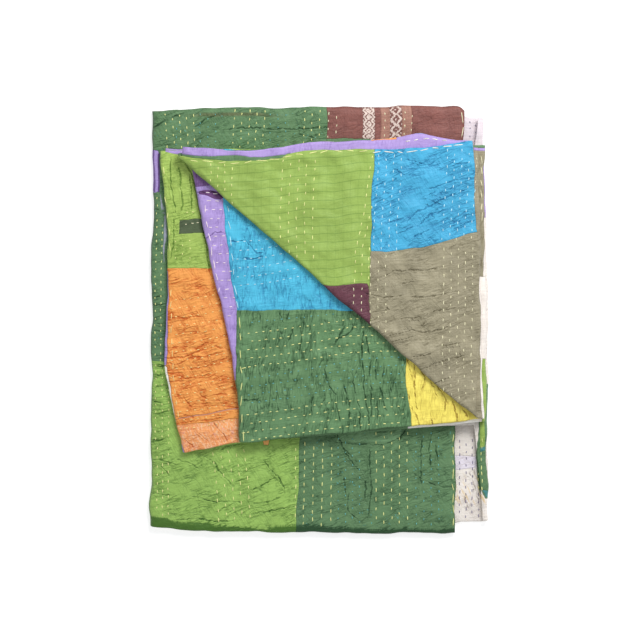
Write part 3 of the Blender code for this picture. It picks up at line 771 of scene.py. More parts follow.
def maths(tree, operation, *values, clamp=False):
    """One Math node's result."""
    made = node(tree, "Math", (("operation", operation), ("use_clamp", clamp)))
    for value, socket in zip(values, made.inputs):
        join(tree, value, socket)
    return made.outputs[0]


def stretch(tree, vector, sizes):
    """A vector divided by a size for each axis, so that a texture's features get those sizes."""
    made = node(tree, "VectorMath", (("operation", "MULTIPLY"),))
    join(tree, vector, made.inputs[0])
    join(tree, [1 / size for size in sizes], made.inputs[1])
    return made.outputs[0]


def spin(tree, vector, degrees):
    """Turns a pattern about Z by some degrees: its coordinates turn the other way."""
    made = node(tree, "VectorRotate", (("rotation_type", "Z_AXIS"),), Angle=np.radians(-degrees))
    join(tree, vector, made.inputs["Vector"])
    return made.outputs[0]


def blend(tree, factor, a, b, kind="MIX"):
    """One Mix node's colour."""
    made = node(tree, "Mix", (("data_type", "RGBA"), ("blend_type", kind)))
    for value, index in ((factor, 0), (a, 6), (b, 7)):
        join(tree, value, made.inputs[index])
    return made.outputs[2]


def noise(tree, vector, detail=2.0, roughness=0.5):
    """Soft noise between 0 and 1."""
    made = node(tree, "TexNoise", (), Vector=vector, Scale=1.0, Detail=detail, Roughness=roughness)
    return made.outputs["Fac"]


def ramp(tree, value, low, high, to_low=0.0, to_high=1.0):
    """A value between two limits, as a share of the way from one to the other, eased at both ends."""
    made = node(tree, "MapRange", (("interpolation_type", "SMOOTHSTEP"),))
    for given, index in ((value, 0), (low, 1), (high, 2), (to_low, 3), (to_high, 4)):
        join(tree, given, made.inputs[index])
    return made.outputs[0]


def four_sided(tree, on_cloth, outline):
    """Distance inside a patch with four straight sides: the least of the distances inside each side."""
    corners = np.array(outline, float) * MM
    turn = np.roll(corners, -1, axis=0)
    way = np.sign(np.sum(corners[:, 0] * turn[:, 1] - turn[:, 0] * corners[:, 1]))
    least = None
    for a, b in zip(corners, turn):
        inward = way * np.array([a[1] - b[1], b[0] - a[0]]) / np.linalg.norm(b - a)
        made = node(tree, "VectorMath", (("operation", "DOT_PRODUCT"),))
        join(tree, on_cloth, made.inputs[0])
        join(tree, (*inward, 0), made.inputs[1])
        far = maths(tree, "SUBTRACT", made.outputs["Value"], float(inward @ a))
        least = far if least is None else maths(tree, "MINIMUM", least, far)
    return least


def group(name, inputs, outputs):
    """A new shader node group with its sockets, and the nodes that stand for its two ends."""
    tree = bpy.data.node_groups.new(name, "ShaderNodeTree")
    for label, kind in inputs:
        tree.interface.new_socket(label, in_out="INPUT", socket_type="NodeSocket" + kind)
    for label, kind in outputs:
        tree.interface.new_socket(label, in_out="OUTPUT", socket_type="NodeSocket" + kind)
    return tree, tree.nodes.new("NodeGroupInput").outputs, tree.nodes.new("NodeGroupOutput").inputs


def place(tree, made_of, **sockets):
    """A group placed in a material or in another group."""
    made = tree.nodes.new("ShaderNodeGroup")
    made.node_tree = made_of
    for name, value in sockets.items():
        join(tree, value, made.inputs[name.replace("_", " ")])
    return made.outputs


def silk_weave():
    """Plain woven silk: thick and thin threads both ways as stretched noise, in two shades."""
    tree, given, out = group("silk weave", (("Vector", "Vector"), ("Colour", "Color"), ("Slub", "Float")),
                             (("Colour", "Color"), ("Height", "Float")))
    weft = noise(tree, stretch(tree, given["Vector"], (0.030, 0.0011, 0.01)), 3.0)
    warp = noise(tree, stretch(tree, given["Vector"], (0.0009, 0.026, 0.01)), 3.0)
    cloud = noise(tree, stretch(tree, given["Vector"], (0.045, 0.060, 0.05)), 2.0)
    threads = maths(tree, "ADD", maths(tree, "MULTIPLY", weft, 0.6), maths(tree, "MULTIPLY", warp, 0.4))
    shade = ramp(tree, maths(tree, "ADD", maths(tree, "MULTIPLY", threads, 0.65),
        maths(tree, "MULTIPLY", cloud, 0.35)), 0.30, 0.70, 0.84, 1.16)
    even = maths(tree, "ADD", maths(tree, "MULTIPLY", maths(tree, "SUBTRACT", shade, 1.0), given["Slub"]),
        1.0)
    tint = node(tree, "CombineColor", (), Red=even, Green=even, Blue=even).outputs[0]
    tree.links.new(blend(tree, 1.0, given["Colour"], tint, "MULTIPLY"), out["Colour"])
    tree.links.new(threads, out["Height"])
    return tree


def puckers():
    """Small wrinkles between the rows of stitches: valleys where stretched noise crosses its middle value, given
    out also as a mask of painted shade.
    """
    tree, given, out = group("puckers", (("Vector", "Vector"), ("Amount", "Float")),
        (("Height", "Float"), ("Valley", "Float")))
    height, valley = 0.0, 0.0
    here = ramp(tree, noise(tree, stretch(tree, given["Vector"], (0.024, 0.018, 0.03)), 1.0), 0.36, 0.58,
        0.15, 1.0)
    for sizes, sharp, share in (((0.024, 0.0058, 0.02), 15.0, 0.6), ((0.012, 0.0032, 0.02), 10.0, 0.55)):
        field = noise(tree, stretch(tree, given["Vector"], sizes), 1.0, 0.4)
        off = maths(tree, "ABSOLUTE", maths(tree, "SUBTRACT", field, 0.47))
        line = maths(tree, "SUBTRACT", 1.0, maths(tree, "MULTIPLY", off, sharp), clamp=True)
        line = maths(tree, "MULTIPLY", line, here)
        valley = maths(tree, "ADD", valley, maths(tree, "MULTIPLY", line, share))
        height = maths(tree, "ADD", height, maths(tree, "MULTIPLY", field, share))
    height = maths(tree, "SUBTRACT", maths(tree, "MULTIPLY", height, 0.62),
        maths(tree, "MULTIPLY", valley, 0.34))
    tree.links.new(maths(tree, "MULTIPLY", height, given["Amount"]), out["Height"])
    tree.links.new(maths(tree, "MULTIPLY", valley, given["Amount"]), out["Valley"])
    return tree


def creases():
    """The placed creases: a crooked groove where the side changes, darkened as painted shade, and a raised fold
    along its right.
    """
    tree, given, out = group("creases", (("Vector", "Vector"), ("Crease", "Vector")),
        (("Height", "Float"), ("Line", "Float")))
    split = node(tree, "SeparateXYZ", (), Vector=given["Crease"])
    crooked = noise(tree, stretch(tree, given["Vector"], (0.006, 0.006, 0.02)), 2.0)
    side = maths(tree, "ADD", split.outputs[0],
        maths(tree, "MULTIPLY", maths(tree, "SUBTRACT", crooked, 0.5), 0.005))
    near = ramp(tree, split.outputs[1], 0.3, 0.9)
    strength = noise(tree, stretch(tree, given["Vector"], (0.010, 0.010, 0.02)), 1.0)
    thick = ramp(tree, strength, 0.3, 0.7, 0.0006, 0.0017)
    line = ramp(tree, maths(tree, "DIVIDE", maths(tree, "ABSOLUTE", side), thick), 0.15, 1.0, 1.0, 0.0)
    line = maths(tree, "MULTIPLY", maths(tree, "MULTIPLY", line, near),
        ramp(tree, strength, 0.34, 0.54, 0.35, 0.9))
    ridge = ramp(tree, maths(tree, "ABSOLUTE", maths(tree, "SUBTRACT", side, 0.0024)), 0.0, 0.0024, 1.0,
        0.0)
    height = maths(tree, "SUBTRACT", maths(tree, "MULTIPLY", maths(tree, "MULTIPLY", ridge, near), 0.7),
        line)
    tree.links.new(height, out["Height"])
    tree.links.new(line, out["Line"])
    return tree


def seam():
    """A patch's edge from its distance: inside is 1, and a narrow line along the sewn edge."""
    tree, given, out = group("seam", (("Vector", "Vector"), ("Distance", "Float")),
        (("Inside", "Float"), ("Line", "Float")))
    wobble = maths(tree, "MULTIPLY", maths(tree, "SUBTRACT",
        noise(tree, stretch(tree, given["Vector"], (0.006, 0.006, 0.02))), 0.5), 0.0012)
    distance = maths(tree, "ADD", given["Distance"], wobble)
    tree.links.new(ramp(tree, distance, -0.00025, 0.00025), out["Inside"])
    tree.links.new(ramp(tree, maths(tree, "ABSOLUTE", distance), 0.0, 0.0011, 1.0, 0.0), out["Line"])
    return tree


WEAVE, PUCKERS, CREASE_LINES, SEAM = silk_weave(), puckers(), creases(), seam()
SLUB = {"plain": 0.8, "slubs": 1.7}
# Painted shade on a part's steep sides, darkening towards the colour of its folds: from and to what steepness,
# and how much.
STEEP_SHADE = {"base": (0.12, 0.7, 0.0, 0.9), "cream": (0.3, 0.95, 0.0, 0.15),
    "ledge": (0.3, 0.95, 0.0, 0.1)}
# The way the small wrinkles of each part run, in degrees from its width.
WRINKLE_WAY = {"base": 18, "cream": 25, "ledge": 25, "orange": 14, "inner": 80, "green": 84, "flap": 20,
    "tongue": 80}


def finish(tree, kind, place_on_cloth, colour):
    """What is woven or sewn into a patch's silk: bands, flecks, specks or rows of dark thread; the base's specks
    come with a brownish band near its upper edge.
    """
    split = node(tree, "SeparateXYZ", (), Vector=place_on_cloth)
    x, y = split.outputs[0], split.outputs[1]
    fuzz = maths(tree, "SUBTRACT", noise(tree, stretch(tree, place_on_cloth, (0.0016, 0.0016, 0.01)), 2.0),
        0.5)
    if kind == "diamonds" or kind == "zigzag":
        middle, pitch, size = (0.0627, 0.0074, 0.0024) if kind == "diamonds" else (0.0978, 0.0108, 0.0036)
        across = maths(tree, "ABSOLUTE", maths(tree, "SUBTRACT", x, middle))
        tooth = maths(tree, "PINGPONG", maths(tree, "ADD", y, 1.0), pitch / 2)
        where = maths(tree, "SUBTRACT", maths(tree, "MULTIPLY", across, 1.0),
            maths(tree, "MULTIPLY", tooth, 1.1))
        bands = maths(tree, "PINGPONG", maths(tree, "ADD", where, 1.0), size)
        limit = 0.66 * size if kind == "diamonds" else 0.48 * size
        mark = ramp(tree, maths(tree, "ADD", bands, maths(tree, "MULTIPLY", fuzz, 2.2 * size)),
            limit - 0.2 * size, limit + 0.2 * size)
        return blend(tree, mark, srgb(228, 208, 196), srgb(122, 78, 72))
    if kind == "flecks":
        mark = ramp(tree, noise(tree, stretch(tree, spin(tree, place_on_cloth, 20), (0.0015, 0.0044, 0.01)),
            3.0), 0.48, 0.60)
        pale = blend(tree, maths(tree, "MULTIPLY", mark, 0.6), colour, srgb(252, 214, 176))
        lilac = ramp(tree, noise(tree, stretch(tree, place_on_cloth, (0.006, 0.009, 0.01)), 3.0), 0.58,
            0.68)
        return blend(tree, maths(tree, "MULTIPLY", lilac, 0.45), pale, srgb(222, 160, 160))
    if kind == "teal specks":
        mark = ramp(tree, noise(tree, stretch(tree, place_on_cloth, (0.0030, 0.0036, 0.01)), 1.0), 0.66,
            0.74)
        near = ramp(tree, noise(tree, stretch(tree, place_on_cloth, (0.05, 0.05, 0.05)), 1.0), 0.45, 0.6)
        # A brownish band along y = 263.5 mm on the cloth, fading out 30 to 70 mm either side of x = -113 mm.
        brown = ramp(tree, maths(tree, "ABSOLUTE", maths(tree, "SUBTRACT", y, 0.2635)), 0.0005, 0.0032, 0.6,
            0.0)
        brown = maths(tree, "MULTIPLY", brown, ramp(tree,
            maths(tree, "ABSOLUTE", maths(tree, "ADD", x, 0.113)), 0.03, 0.07, 1.0, 0.0))
        tinted = blend(tree, brown, colour, srgb(104, 90, 56))
        return blend(tree, maths(tree, "MULTIPLY", maths(tree, "MULTIPLY", mark, near), 0.7), tinted,
            srgb(92, 170, 160))
    if kind == "streaks":
        mark = ramp(tree, noise(tree, stretch(tree, spin(tree, place_on_cloth, -62), (0.030, 0.004, 0.02)),
            2.0), 0.54, 0.68)
        low = ramp(tree, maths(tree, "ABSOLUTE", maths(tree, "ADD", y, 0.222)), 0.010, 0.026, 0.8, 0.1)
        return blend(tree, maths(tree, "MULTIPLY", mark, low), colour, srgb(236, 204, 146))
    if kind == "lines":
        rise_right = maths(tree, "SUBTRACT", y, maths(tree, "MULTIPLY", x, 0.085))
        bend = maths(tree, "MULTIPLY", maths(tree, "SUBTRACT",
            noise(tree, stretch(tree, place_on_cloth, (0.05, 0.05, 0.05)), 1.0), 0.5), 0.006)
        along = maths(tree, "ADD", maths(tree, "ADD", rise_right, bend), 1.0)
        rows = ramp(tree, maths(tree, "ADD", maths(tree, "PINGPONG", along, 0.0055),
            maths(tree, "MULTIPLY", fuzz, 0.0006)), 0.0001, 0.0009, 0.5, 0.0)
        faint = ramp(tree, maths(tree, "PINGPONG", maths(tree, "ADD", maths(tree, "ADD", x, bend), 1.0),
            0.0052), 0.0002, 0.0012, 0.12, 0.0)
        return blend(tree, maths(tree, "MAXIMUM", rows, faint), colour, srgb(92, 128, 52))
    return colour


def silk_of(part):
    """One part's silk: its patches laid over each other in order, then weave, puckers, creases, seams and
    painted shade.
    """
    material = bpy.data.materials.new(f"{part} silk")
    material.use_nodes = True
    tree = material.node_tree
    shader = tree.nodes["Principled BSDF"]
    on_cloth = node(tree, "Attribute", (("attribute_name", "cloth"),)).outputs["Vector"]
    colour = shade_colours = amount = slub = line = None
    for patch in PATCHES:
        if patch.part != part:
            continue
        own = finish(tree, patch.finish, on_cloth, patch.colour)
        if patch.outline is None:
            colour, shade_colours, amount, slub, line = own, patch.fold, patch.pucker, SLUB.get(patch.finish,
                0.8), 0.0
            continue
        if len(patch.outline) == 4:
            distance = four_sided(tree, on_cloth, patch.outline)
        else:
            distance = node(tree, "Attribute", (("attribute_name", f"{part} {patch.name}"),)).outputs["Fac"]
        edge = place(tree, SEAM, Vector=on_cloth, Distance=distance)
        colour = blend(tree, edge["Inside"], colour, own)
        shade_colours = blend(tree, edge["Inside"], shade_colours, patch.fold)
        keep_out = maths(tree, "SUBTRACT", 1.0, edge["Inside"])
        amount = maths(tree, "MULTIPLY_ADD", edge["Inside"], patch.pucker,
            maths(tree, "MULTIPLY", amount, keep_out))
        slub = maths(tree, "MULTIPLY_ADD", edge["Inside"], SLUB.get(patch.finish, 0.8),
            maths(tree, "MULTIPLY", slub, keep_out))
        line = maths(tree, "MAXIMUM", line, edge["Line"])
    woven = place(tree, WEAVE, Vector=on_cloth, Colour=colour, Slub=slub)
    main = place(tree, PUCKERS, Vector=spin(tree, on_cloth, WRINKLE_WAY[part]), Amount=amount)
    cross = place(tree, PUCKERS, Vector=spin(tree, on_cloth, WRINKLE_WAY[part] - 75),
        Amount=maths(tree, "MULTIPLY", amount, 0.45))
    placed, lines = 0.0, 0.0
    for number in range(groups_used.get(part, 0)):
        values = node(tree, "Attribute", (("attribute_name", f"crease {number}"),)).outputs["Vector"]
        made = place(tree, CREASE_LINES, Vector=on_cloth, Crease=values)
        placed = maths(tree, "ADD", placed, made["Height"])
        lines = maths(tree, "MAXIMUM", lines, made["Line"])
    lower_edge_shade, steep = (node(tree, "Attribute", (("attribute_name", name),)).outputs["Fac"]
        for name in ("turning down", "steep"))
    # Painted shade: the colour darkens towards the shade colour in the wrinkles' valleys, along the crease
    # lines, on steep sides and where the base turns down to its lower fold; the seams darken it a little as
    # well.
    dark = maths(tree, "ADD", maths(tree, "ADD", main["Valley"], cross["Valley"]),
        maths(tree, "MULTIPLY", lines, 0.85), clamp=True)
    dark = maths(tree, "MAXIMUM", dark, maths(tree, "MULTIPLY", line, 0.3))
    dark = maths(tree, "MAXIMUM", dark, ramp(tree, steep, *STEEP_SHADE.get(part, (0.3, 0.95, 0.0, 0.75))))
    # Painted shade on the base's lower fold, its upper edge made ragged by the weave and the wrinkles.
    ragged_shade_edge = maths(tree, "MULTIPLY", maths(tree, "SUBTRACT", woven["Height"], 0.5), 0.012)
    ragged_shade_edge = maths(tree, "MULTIPLY_ADD", maths(tree, "SUBTRACT", main["Valley"], 0.15), 0.008, ragged_shade_edge)
    dark = maths(tree, "MAXIMUM", dark, ramp(tree, maths(tree, "ADD", lower_edge_shade, ragged_shade_edge), -0.0012, 0.0026,
        0.0, 0.95))
    tree.links.new(blend(tree, dark, woven["Colour"], shade_colours), shader.inputs["Base Color"])
    height = maths(tree, "MULTIPLY", maths(tree, "ADD", main["Height"], cross["Height"]), 2.6 * MM)
    height = maths(tree, "MULTIPLY_ADD", placed, 0.8 * MM, height)
    height = maths(tree, "MULTIPLY_ADD", woven["Height"], 0.25 * MM, height)
    height = maths(tree, "MULTIPLY_ADD", line, -0.35 * MM, height)
    bump = node(tree, "Bump", (), Strength=1.0, Distance=1.0, Height=height)
    tree.links.new(bump.outputs[0], shader.inputs["Normal"])
    tree.links.new(ramp(tree, woven["Height"], 0.2, 0.8, 0.62, 0.46), shader.inputs["Roughness"])
    shader.inputs["Specular IOR Level"].default_value = 0.3
    shader.inputs["Sheen Weight"].default_value = 0.12
    shader.inputs["Sheen Roughness"].default_value = 0.4
    return material


for part in PARTS:
    mesh.materials.append(silk_of(part))

# The running stitch: doubled cotton thread in rows about 10 mm apart over the whole cloth, each stitch a
# few millimetres long and sunk a little at its ends, in a colour picked out for each patch.
# Each line of the table gives the part, the path of its first row of stitches, how many rows, the step from
# row to row, the pitch and length of the stitches, in mm, and the thread where it isn't the patch's own.
Rows = namedtuple("Rows", "part path count step pitch length thread", defaults=("",))
SEWN = (
    Rows("base", ((-201.2, 269.8), (-198.6, 221.7)), 5, (9.1, 0), 10.4, 3.6),
    Rows("base", ((-110.8, 274.9), (-114.1, 220.3)), 5, (9.8, 0), 10.4, 3.6),
    Rows("base", ((-19.8, 274.9), (-21.8, 220.3)), 3, (9.8, 0), 10.4, 3.6),
    Rows("base", ((12, 272.4), (10.1, 234.7)), 2, (10.4, 0), 10.4, 3.6),
    Rows("base", ((84.8, 272.4), (83.5, 236)), 1, (0, 0), 10, 3.4),
    Rows("base", ((110.8, 272.4), (109.5, 236)), 2, (9, 0), 9, 3.4),
    Rows("base", ((-211.6, 160.6), (-214.2, 57.9), (-214.8, -54)), 2, (7.4, -3), 9.2, 3.0),
    Rows("base", ((-213.5, -56.6), (-214.4, -156.7)), 3, (8.6, -3), 8.6, 2.8),
    Rows("base", ((-211.8, -164.5), (-212.2, -254.2)), 3, (7.2, -4), 11, 3.8),
    Rows("base", ((-140.1, -169.7), (-134.9, -208.7), (-131.6, -264.6)), 5, (10.2, 1), 12.4, 5.0),
    Rows("base", ((-31.5, -164.5), (-32.2, -267.2)), 1, (0, 0), 12.4, 5.2, "yellow"),
    Rows("base", ((-19.7, -158), (-21.8, -268.4)), 4, (11.8, 0), 10.4, 5.0),
    Rows("base", ((23.7, -151.5), (23.7, -268.4)), 4, (9.2, 0), 11.4, 2.4, "teal"),
    Rows("base", ((73.1, -143.7), (73.1, -268.4)), 5, (10.1, 0), 12.2, 4.6),
    Rows("base", ((125.1, -143.7), (125.1, -268.4)), 4, (9.8, 0), 11.8, 2.6, "teal"),
    Rows("base", ((-186.9, 251.6), (-186.9, 223)), 1, (0, 0), 10, 2.6, "teal"),
    Rows("base", ((-155.7, 269.8), (-155.7, 225.6)), 3, (10, 0), 11, 2.2, "teal"),
    Rows("base", ((-64.7, 269.8), (-64.7, 225.6)), 3, (10, 0), 11, 2.2, "teal"),
    Rows("cream", ((211.6, -143.7), (209.6, -176.2), (210.9, -221.7)), 1, (0, 0), 9, 5, "yellow"),
    Rows("ledge", ((211.6, -143.7), (209.6, -176.2), (210.9, -221.7)), 1, (0, 0), 9, 5, "yellow"),
    Rows("tongue", ((109.5, 230.8), (136.8, 235.2), (164.1, 232.1)), 1, (0, 0), 12, 7, "white"),
    Rows("tongue", ((-14, 224.2), (-14, 217.8)), 2, (30, 0), 12, 4, "pink"),
    Rows("cream", ((182.1, -154.1), (181.7, -260.7)), 4, (8.2, 0), 9.4, 4.2),
    Rows("cream", ((195.3, 260.7), (195.3, 230.8)), 2, (7.8, 0), 9.1, 2.8),
    Rows("orange", ((-199.9, 25.4), (-155.7, 29.2), (-108.9, 38.4)), 16, (0, -11.2), 9.8, 3.2),
    Rows("orange", ((-175.2, 139.8), (-149.2, 141.1)), 1, (0, 0), 8, 3.0),
    Rows("orange", ((-176.5, 124.2), (-151.8, 126.8)), 1, (0, 0), 8, 3.0),
    Rows("orange", ((-188.2, 106), (-188.2, 74.8)), 3, (9.5, 0), 11, 2.4),
    Rows("green", ((-95.9, -17.6), (-49.1, -12.3), (0.3, -5.2), (41.9, 1.3), (104.3, 3.2)), 5, (0, -10.8),
        9.6, 3.4),
    Rows("green", ((-90.7, -3.2), (-25.7, 3.2), (26.3, 8.5)), 1, (0, 0), 9.6, 2.4, "teal"),
    Rows("green", ((-95.9, -76), (-38.7, -68.2), (13.3, -57.9), (58.8, -50.1), (109.5, -47.5)), 4,
        (0, -10.8), 9.4, 2.6, "teal"),
    Rows("green", ((-95.9, -123.5), (-46.5, -117), (0.3, -109.2), (58.8, -102.7), (112.1, -100.1)), 4,
        (0, -11.0), 9.6, 3.4),
    Rows("green", ((-110.2, 100.8), (-75.1, 103.4), (-25.7, 112.5)), 6, (0, -11.2), 9.4, 3.6),
    Rows("flap", ((-141.4, 204.8), (-141.4, 142.3)), 4, (9.1, 0), 11, 3.8),
    Rows("flap", ((-47.8, 210), (-51.7, 135.8), (-50.4, 77.4)), 5, (10.4, 0), 12.4, 4.6),
    Rows("flap", ((67.9, 213.8), (62.7, 181.3), (57.5, 142.3), (45.8, 90.4), (44.5, 46.1)), 3, (9, 2), 12.4,
        4.8, "yellow"),
    Rows("flap", ((76.4, 216.5), (74.4, 174.8), (69.9, 129.3), (69.2, 87.8)), 4, (9.9, 0), 10.6, 4.2,
        "cyan"),
    Rows("flap", ((165.4, 223), (164.1, 181.3), (160.2, 135.8), (157.6, 99.5)), 5, (9.4, 0), 10.4, 3.8),
    Rows("flap", ((65.3, 85.2), (65.3, -26.7)), 3, (9.8, 0), 12, 4.0, "cream"),
    Rows("flap", ((160.2, 95.5), (160.2, 25.4), (157.6, -52.6), (161.5, -104.7)), 5, (9.4, 0), 11.4, 4.2,
        "cream"),
    Rows("flap", ((43.7, 43.6), (43, 17.6)), 1, (0, 0), 9.4, 4),
    Rows("flap", ((54.1, 43.6), (53.1, 4.5)), 1, (0, 0), 9.4, 4),
)
# The hems are turned in and caught down with the same thread in longer stitches.
HEMS = (
    Rows("green", ((-119.3, 150.2), (-116.7, 116.4), (-113.4, 74.8), (-108.9, 35.8), (-104.2, -7.2),
        (-102.6, -52.6), (-101.9, -98.2), (-100.6, -137.2), (-98.5, -158)), 1, (0, 0), 21, 11.5),
    Rows("green", ((-149.8, 148.8), (-144, 109.9), (-136.8, 70.9), (-129.7, 33.1), (-121.9, -13.7),
        (-115.4, -42.2)), 1, (0, 0), 18, 11.5, "pink"),
    Rows("green", ((-147.9, 155.3), (-128.4, 154.1)), 1, (0, 0), 11, 6.5, "pink"),
    Rows("green", ((-149.2, 165.8), (-131, 163.2)), 1, (0, 0), 11, 6.0, "pink"),
    Rows("green", ((-150.5, 142.3), (-127.1, 143.7)), 13, (2.5, -11.4), 9.5, 4.6, "pink"),
    Rows("green", ((-103.7, -63.1), (-95.9, -61.8)), 1, (0, 0), 14, 7, "yellow"),
    Rows("green", ((-102.4, -146.2), (-94.6, -146.2)), 2, (0, -11), 14, 6, "yellow"),
    Rows("orange", ((-203.8, 200.8), (-201.2, 161.8), (-196, 113.8), (-194, 74.8)), 1, (0, 0), 20, 12,
        "yellow"),
    Rows("orange", ((-193.4, 41), (-193.4, -13.7), (-190.8, -68.2), (-186.9, -107.2), (-181.7, -135.8)), 1,
        (0, 0), 16, 8, "gold"),
    Rows("flap", ((-168.7, 206.7), (-140.1, 205), (-108.9, 202.7), (-75.1, 206.1), (-49.1, 209.2)), 1,
        (0, 0), 17.5, 12, "yellow"),
    Rows("flap", ((-47.8, 210), (-25.7, 214.6), (0.3, 217.5), (32.8, 219.3), (65.3, 218.8)), 1, (0, 0),
        16.5, 12, "yellow"),
    Rows("flap", ((67.9, 217.4), (104.3, 217.1), (130.3, 219.2), (156.3, 223.6), (190.1, 228.3)), 1, (0, 0),
        15.5, 11.5, "white"),
    Rows("inner", ((209.6, 212.6), (209.6, 168.3), (210.9, 116.4)), 1, (0, 0), 15, 10.5, "cream"),
    Rows("flap", ((208.8, 220.3), (209.4, 155.3), (209.9, 64.4)), 1, (0, 0), 16, 11.5, "cream"),
    Rows("base", ((184.7, 269.8), (186, 232.1)), 1, (0, 0), 20, 15, "cream"),
    Rows("base", ((173.2, -148.8), (173.2, -268.4)), 1, (0, 0), 15.6, 11.5, "yellow"),
)
THREADS = {
    "yellow": srgb(240, 242, 160), "cyan": srgb(190, 238, 252), "cream": srgb(240, 234, 196),
        "white": srgb(246, 244, 230),
    "gold": srgb(255, 222, 146), "pink": srgb(250, 232, 240), "grey": srgb(138, 130, 156),
        "teal": srgb(110, 184, 178),
}
THREAD_WIDTH, THREAD_HEIGHT = 0.60 * MM, 0.42 * MM
# Five outlines along a stitch: place along it, size, and height over the cloth in mm.
BEAD_PLACE = np.array([-1, -0.6, 0, 0.6, 1])
BEAD_SIZE = np.array([0.35, 0.95, 1, 0.95, 0.35])
BEAD_LIFT = np.array([-0.1, 0.16, 0.22, 0.16, -0.1]) * MM
BEAD_SIDES = 6

surface = BVHTree.FromPolygons(points.reshape(-1, 3).tolist(), quads.tolist())


def patch_thread(part, x, y):
    """The thread of the patch that lies at a place: the last one in the table that holds it."""
    thread = ""
    for patch in PATCHES:
        if patch.part == part and (patch.outline is None or inside(np.array([x]), np.array([y]),
            patch.outline)[0] > 0):
            thread = patch.thread
    return thread


def row_stitches(rows, rng):
    """Centre lines of the stitches of some rows, each as five places on the flat; rows are staggered."""
    for row in range(rows.count):
        path = np.array(rows.path, float) + row * np.array(rows.step)
        _, total = along_path(path, np.zeros(1))
        start = (0.3 + 0.5 * (row % 2)) * rows.pitch * MM
        centres = np.arange(start, total - 0.3 * rows.length * MM, rows.pitch * MM)
        centres = centres + rng.uniform(-0.09, 0.09, len(centres)) * rows.pitch * MM
        half = rows.length * MM / 2 * rng.uniform(0.78, 1.15, len(centres))
        flat, _ = along_path(path, centres[:, None] + half[:, None] * BEAD_PLACE)
        sideways = rng.uniform(-0.5, 0.5, (len(centres), 1, 2)) * MM
        skew = max(0.25, 0.010 * rows.length**2) * MM
        yield from flat + sideways + rng.uniform(-skew, skew, (len(centres), 1, 2)) * BEAD_PLACE[:, None]


def on_the_cloth(line, part):
    """A stitch's five places on the cloth's top, with the cloth's direction up there, or None if hidden."""
    hits = []
    for x, y in line:
        place_there, up, face, _ = surface.ray_cast(Vector((x + SHIFT[0], y + SHIFT[1], 0.2)),
            Vector((0, 0, -1)))
        if face is None or PARTS[face_parts[face]] != part:
            return None
        hits.append((*place_there, *up))
    return hits


stitches = {name: [] for name in THREADS}
rng = np.random.default_rng(12)
for rows in SEWN + HEMS:
    for line in row_stitches(rows, rng):
        hits = on_the_cloth(line, rows.part)
        own = patch_thread(rows.part, *line[2])
        thread = rows.thread or own
        if hits and thread and (thread in ("teal", "white") or thread == own):
            stitches[thread].append(hits)


def bead_mesh(name, lines):
    """All stitches of one thread: round outlines along each centre line, joined, with flat ends."""
    lines = np.array(lines)
    centre, up = lines[..., :3], lines[..., 3:]
    along = np.gradient(centre, axis=1)
    side = np.cross(along, up)
    side /= np.linalg.norm(side, axis=-1, keepdims=True)
    turn = np.linspace(0, 2 * pi, BEAD_SIDES, endpoint=False)
    size = BEAD_SIZE[:, None, None]
    wide = side[:, :, None] * np.cos(turn)[:, None] * THREAD_WIDTH
    tall = up[:, :, None] * np.sin(turn)[:, None] * THREAD_HEIGHT
    ring = (wide + tall) * size
    shape = centre[:, :, None] + up[:, :, None] * BEAD_LIFT[:, None, None] + ring
    count, rings = len(lines), len(BEAD_PLACE)
    r, i = np.meshgrid(np.arange(rings - 1), np.arange(BEAD_SIDES), indexing="ij")
    j = (i + 1) % BEAD_SIDES
    this, after = r * BEAD_SIDES, (r + 1) * BEAD_SIDES
    wall = np.stack([this + i, after + i, after + j, this + j], axis=-1).reshape(-1, 4)
    start = np.arange(count)[:, None, None] * rings * BEAD_SIDES
    walls = (wall + start).reshape(-1, 4)
    near = (np.arange(BEAD_SIDES) + start[:, 0]).tolist()
    far = (np.arange(BEAD_SIDES)[::-1] + (rings - 1) * BEAD_SIDES + start[:, 0]).tolist()
    made = bpy.data.meshes.new(name)
    made.from_pydata(shape.reshape(-1, 3).tolist(), [], walls.tolist() + near + far)
    made.polygons.foreach_set("use_smooth", np.ones(len(made.polygons), bool))
    return made


def twist():
    """Twisted cotton: fine slanting ridges, a little lighter and darker from stitch to stitch."""
    tree, given, out = group("thread twist", (("Vector", "Vector"), ("Colour", "Color")),
        (("Colour", "Color"), ("Height", "Float")))
    fine = noise(tree, stretch(tree, spin(tree, given["Vector"], 35), (0.0022, 0.0004, 0.0006)), 1.0)
    broad = ramp(tree, noise(tree, stretch(tree, given["Vector"], (0.010, 0.010, 0.010)), 1.0), 0.3, 0.7,
        0.82, 1.08)
    tint = node(tree, "CombineColor", (), Red=broad, Green=broad, Blue=broad).outputs[0]
    tree.links.new(blend(tree, 1.0, given["Colour"], tint, "MULTIPLY"), out["Colour"])
    tree.links.new(fine, out["Height"])
    return tree


TWIST = twist()


def cotton(name, colour):
    """Cotton thread of one colour: its twist shades it, raises it and changes its roughness a little."""
    material = bpy.data.materials.new(f"{name} thread")
    material.use_nodes = True
    tree = material.node_tree
    shader = tree.nodes["Principled BSDF"]
    where = node(tree, "TexCoord").outputs["Object"]
    twisted = place(tree, TWIST, Vector=where, Colour=colour)
    tree.links.new(twisted["Colour"], shader.inputs["Base Color"])
    bump = node(tree, "Bump", (), Strength=0.6, Distance=0.0003, Height=twisted["Height"])
    tree.links.new(bump.outputs[0], shader.inputs["Normal"])
    tree.links.new(ramp(tree, twisted["Height"], 0.2, 0.8, 0.8, 0.6), shader.inputs["Roughness"])
    return material


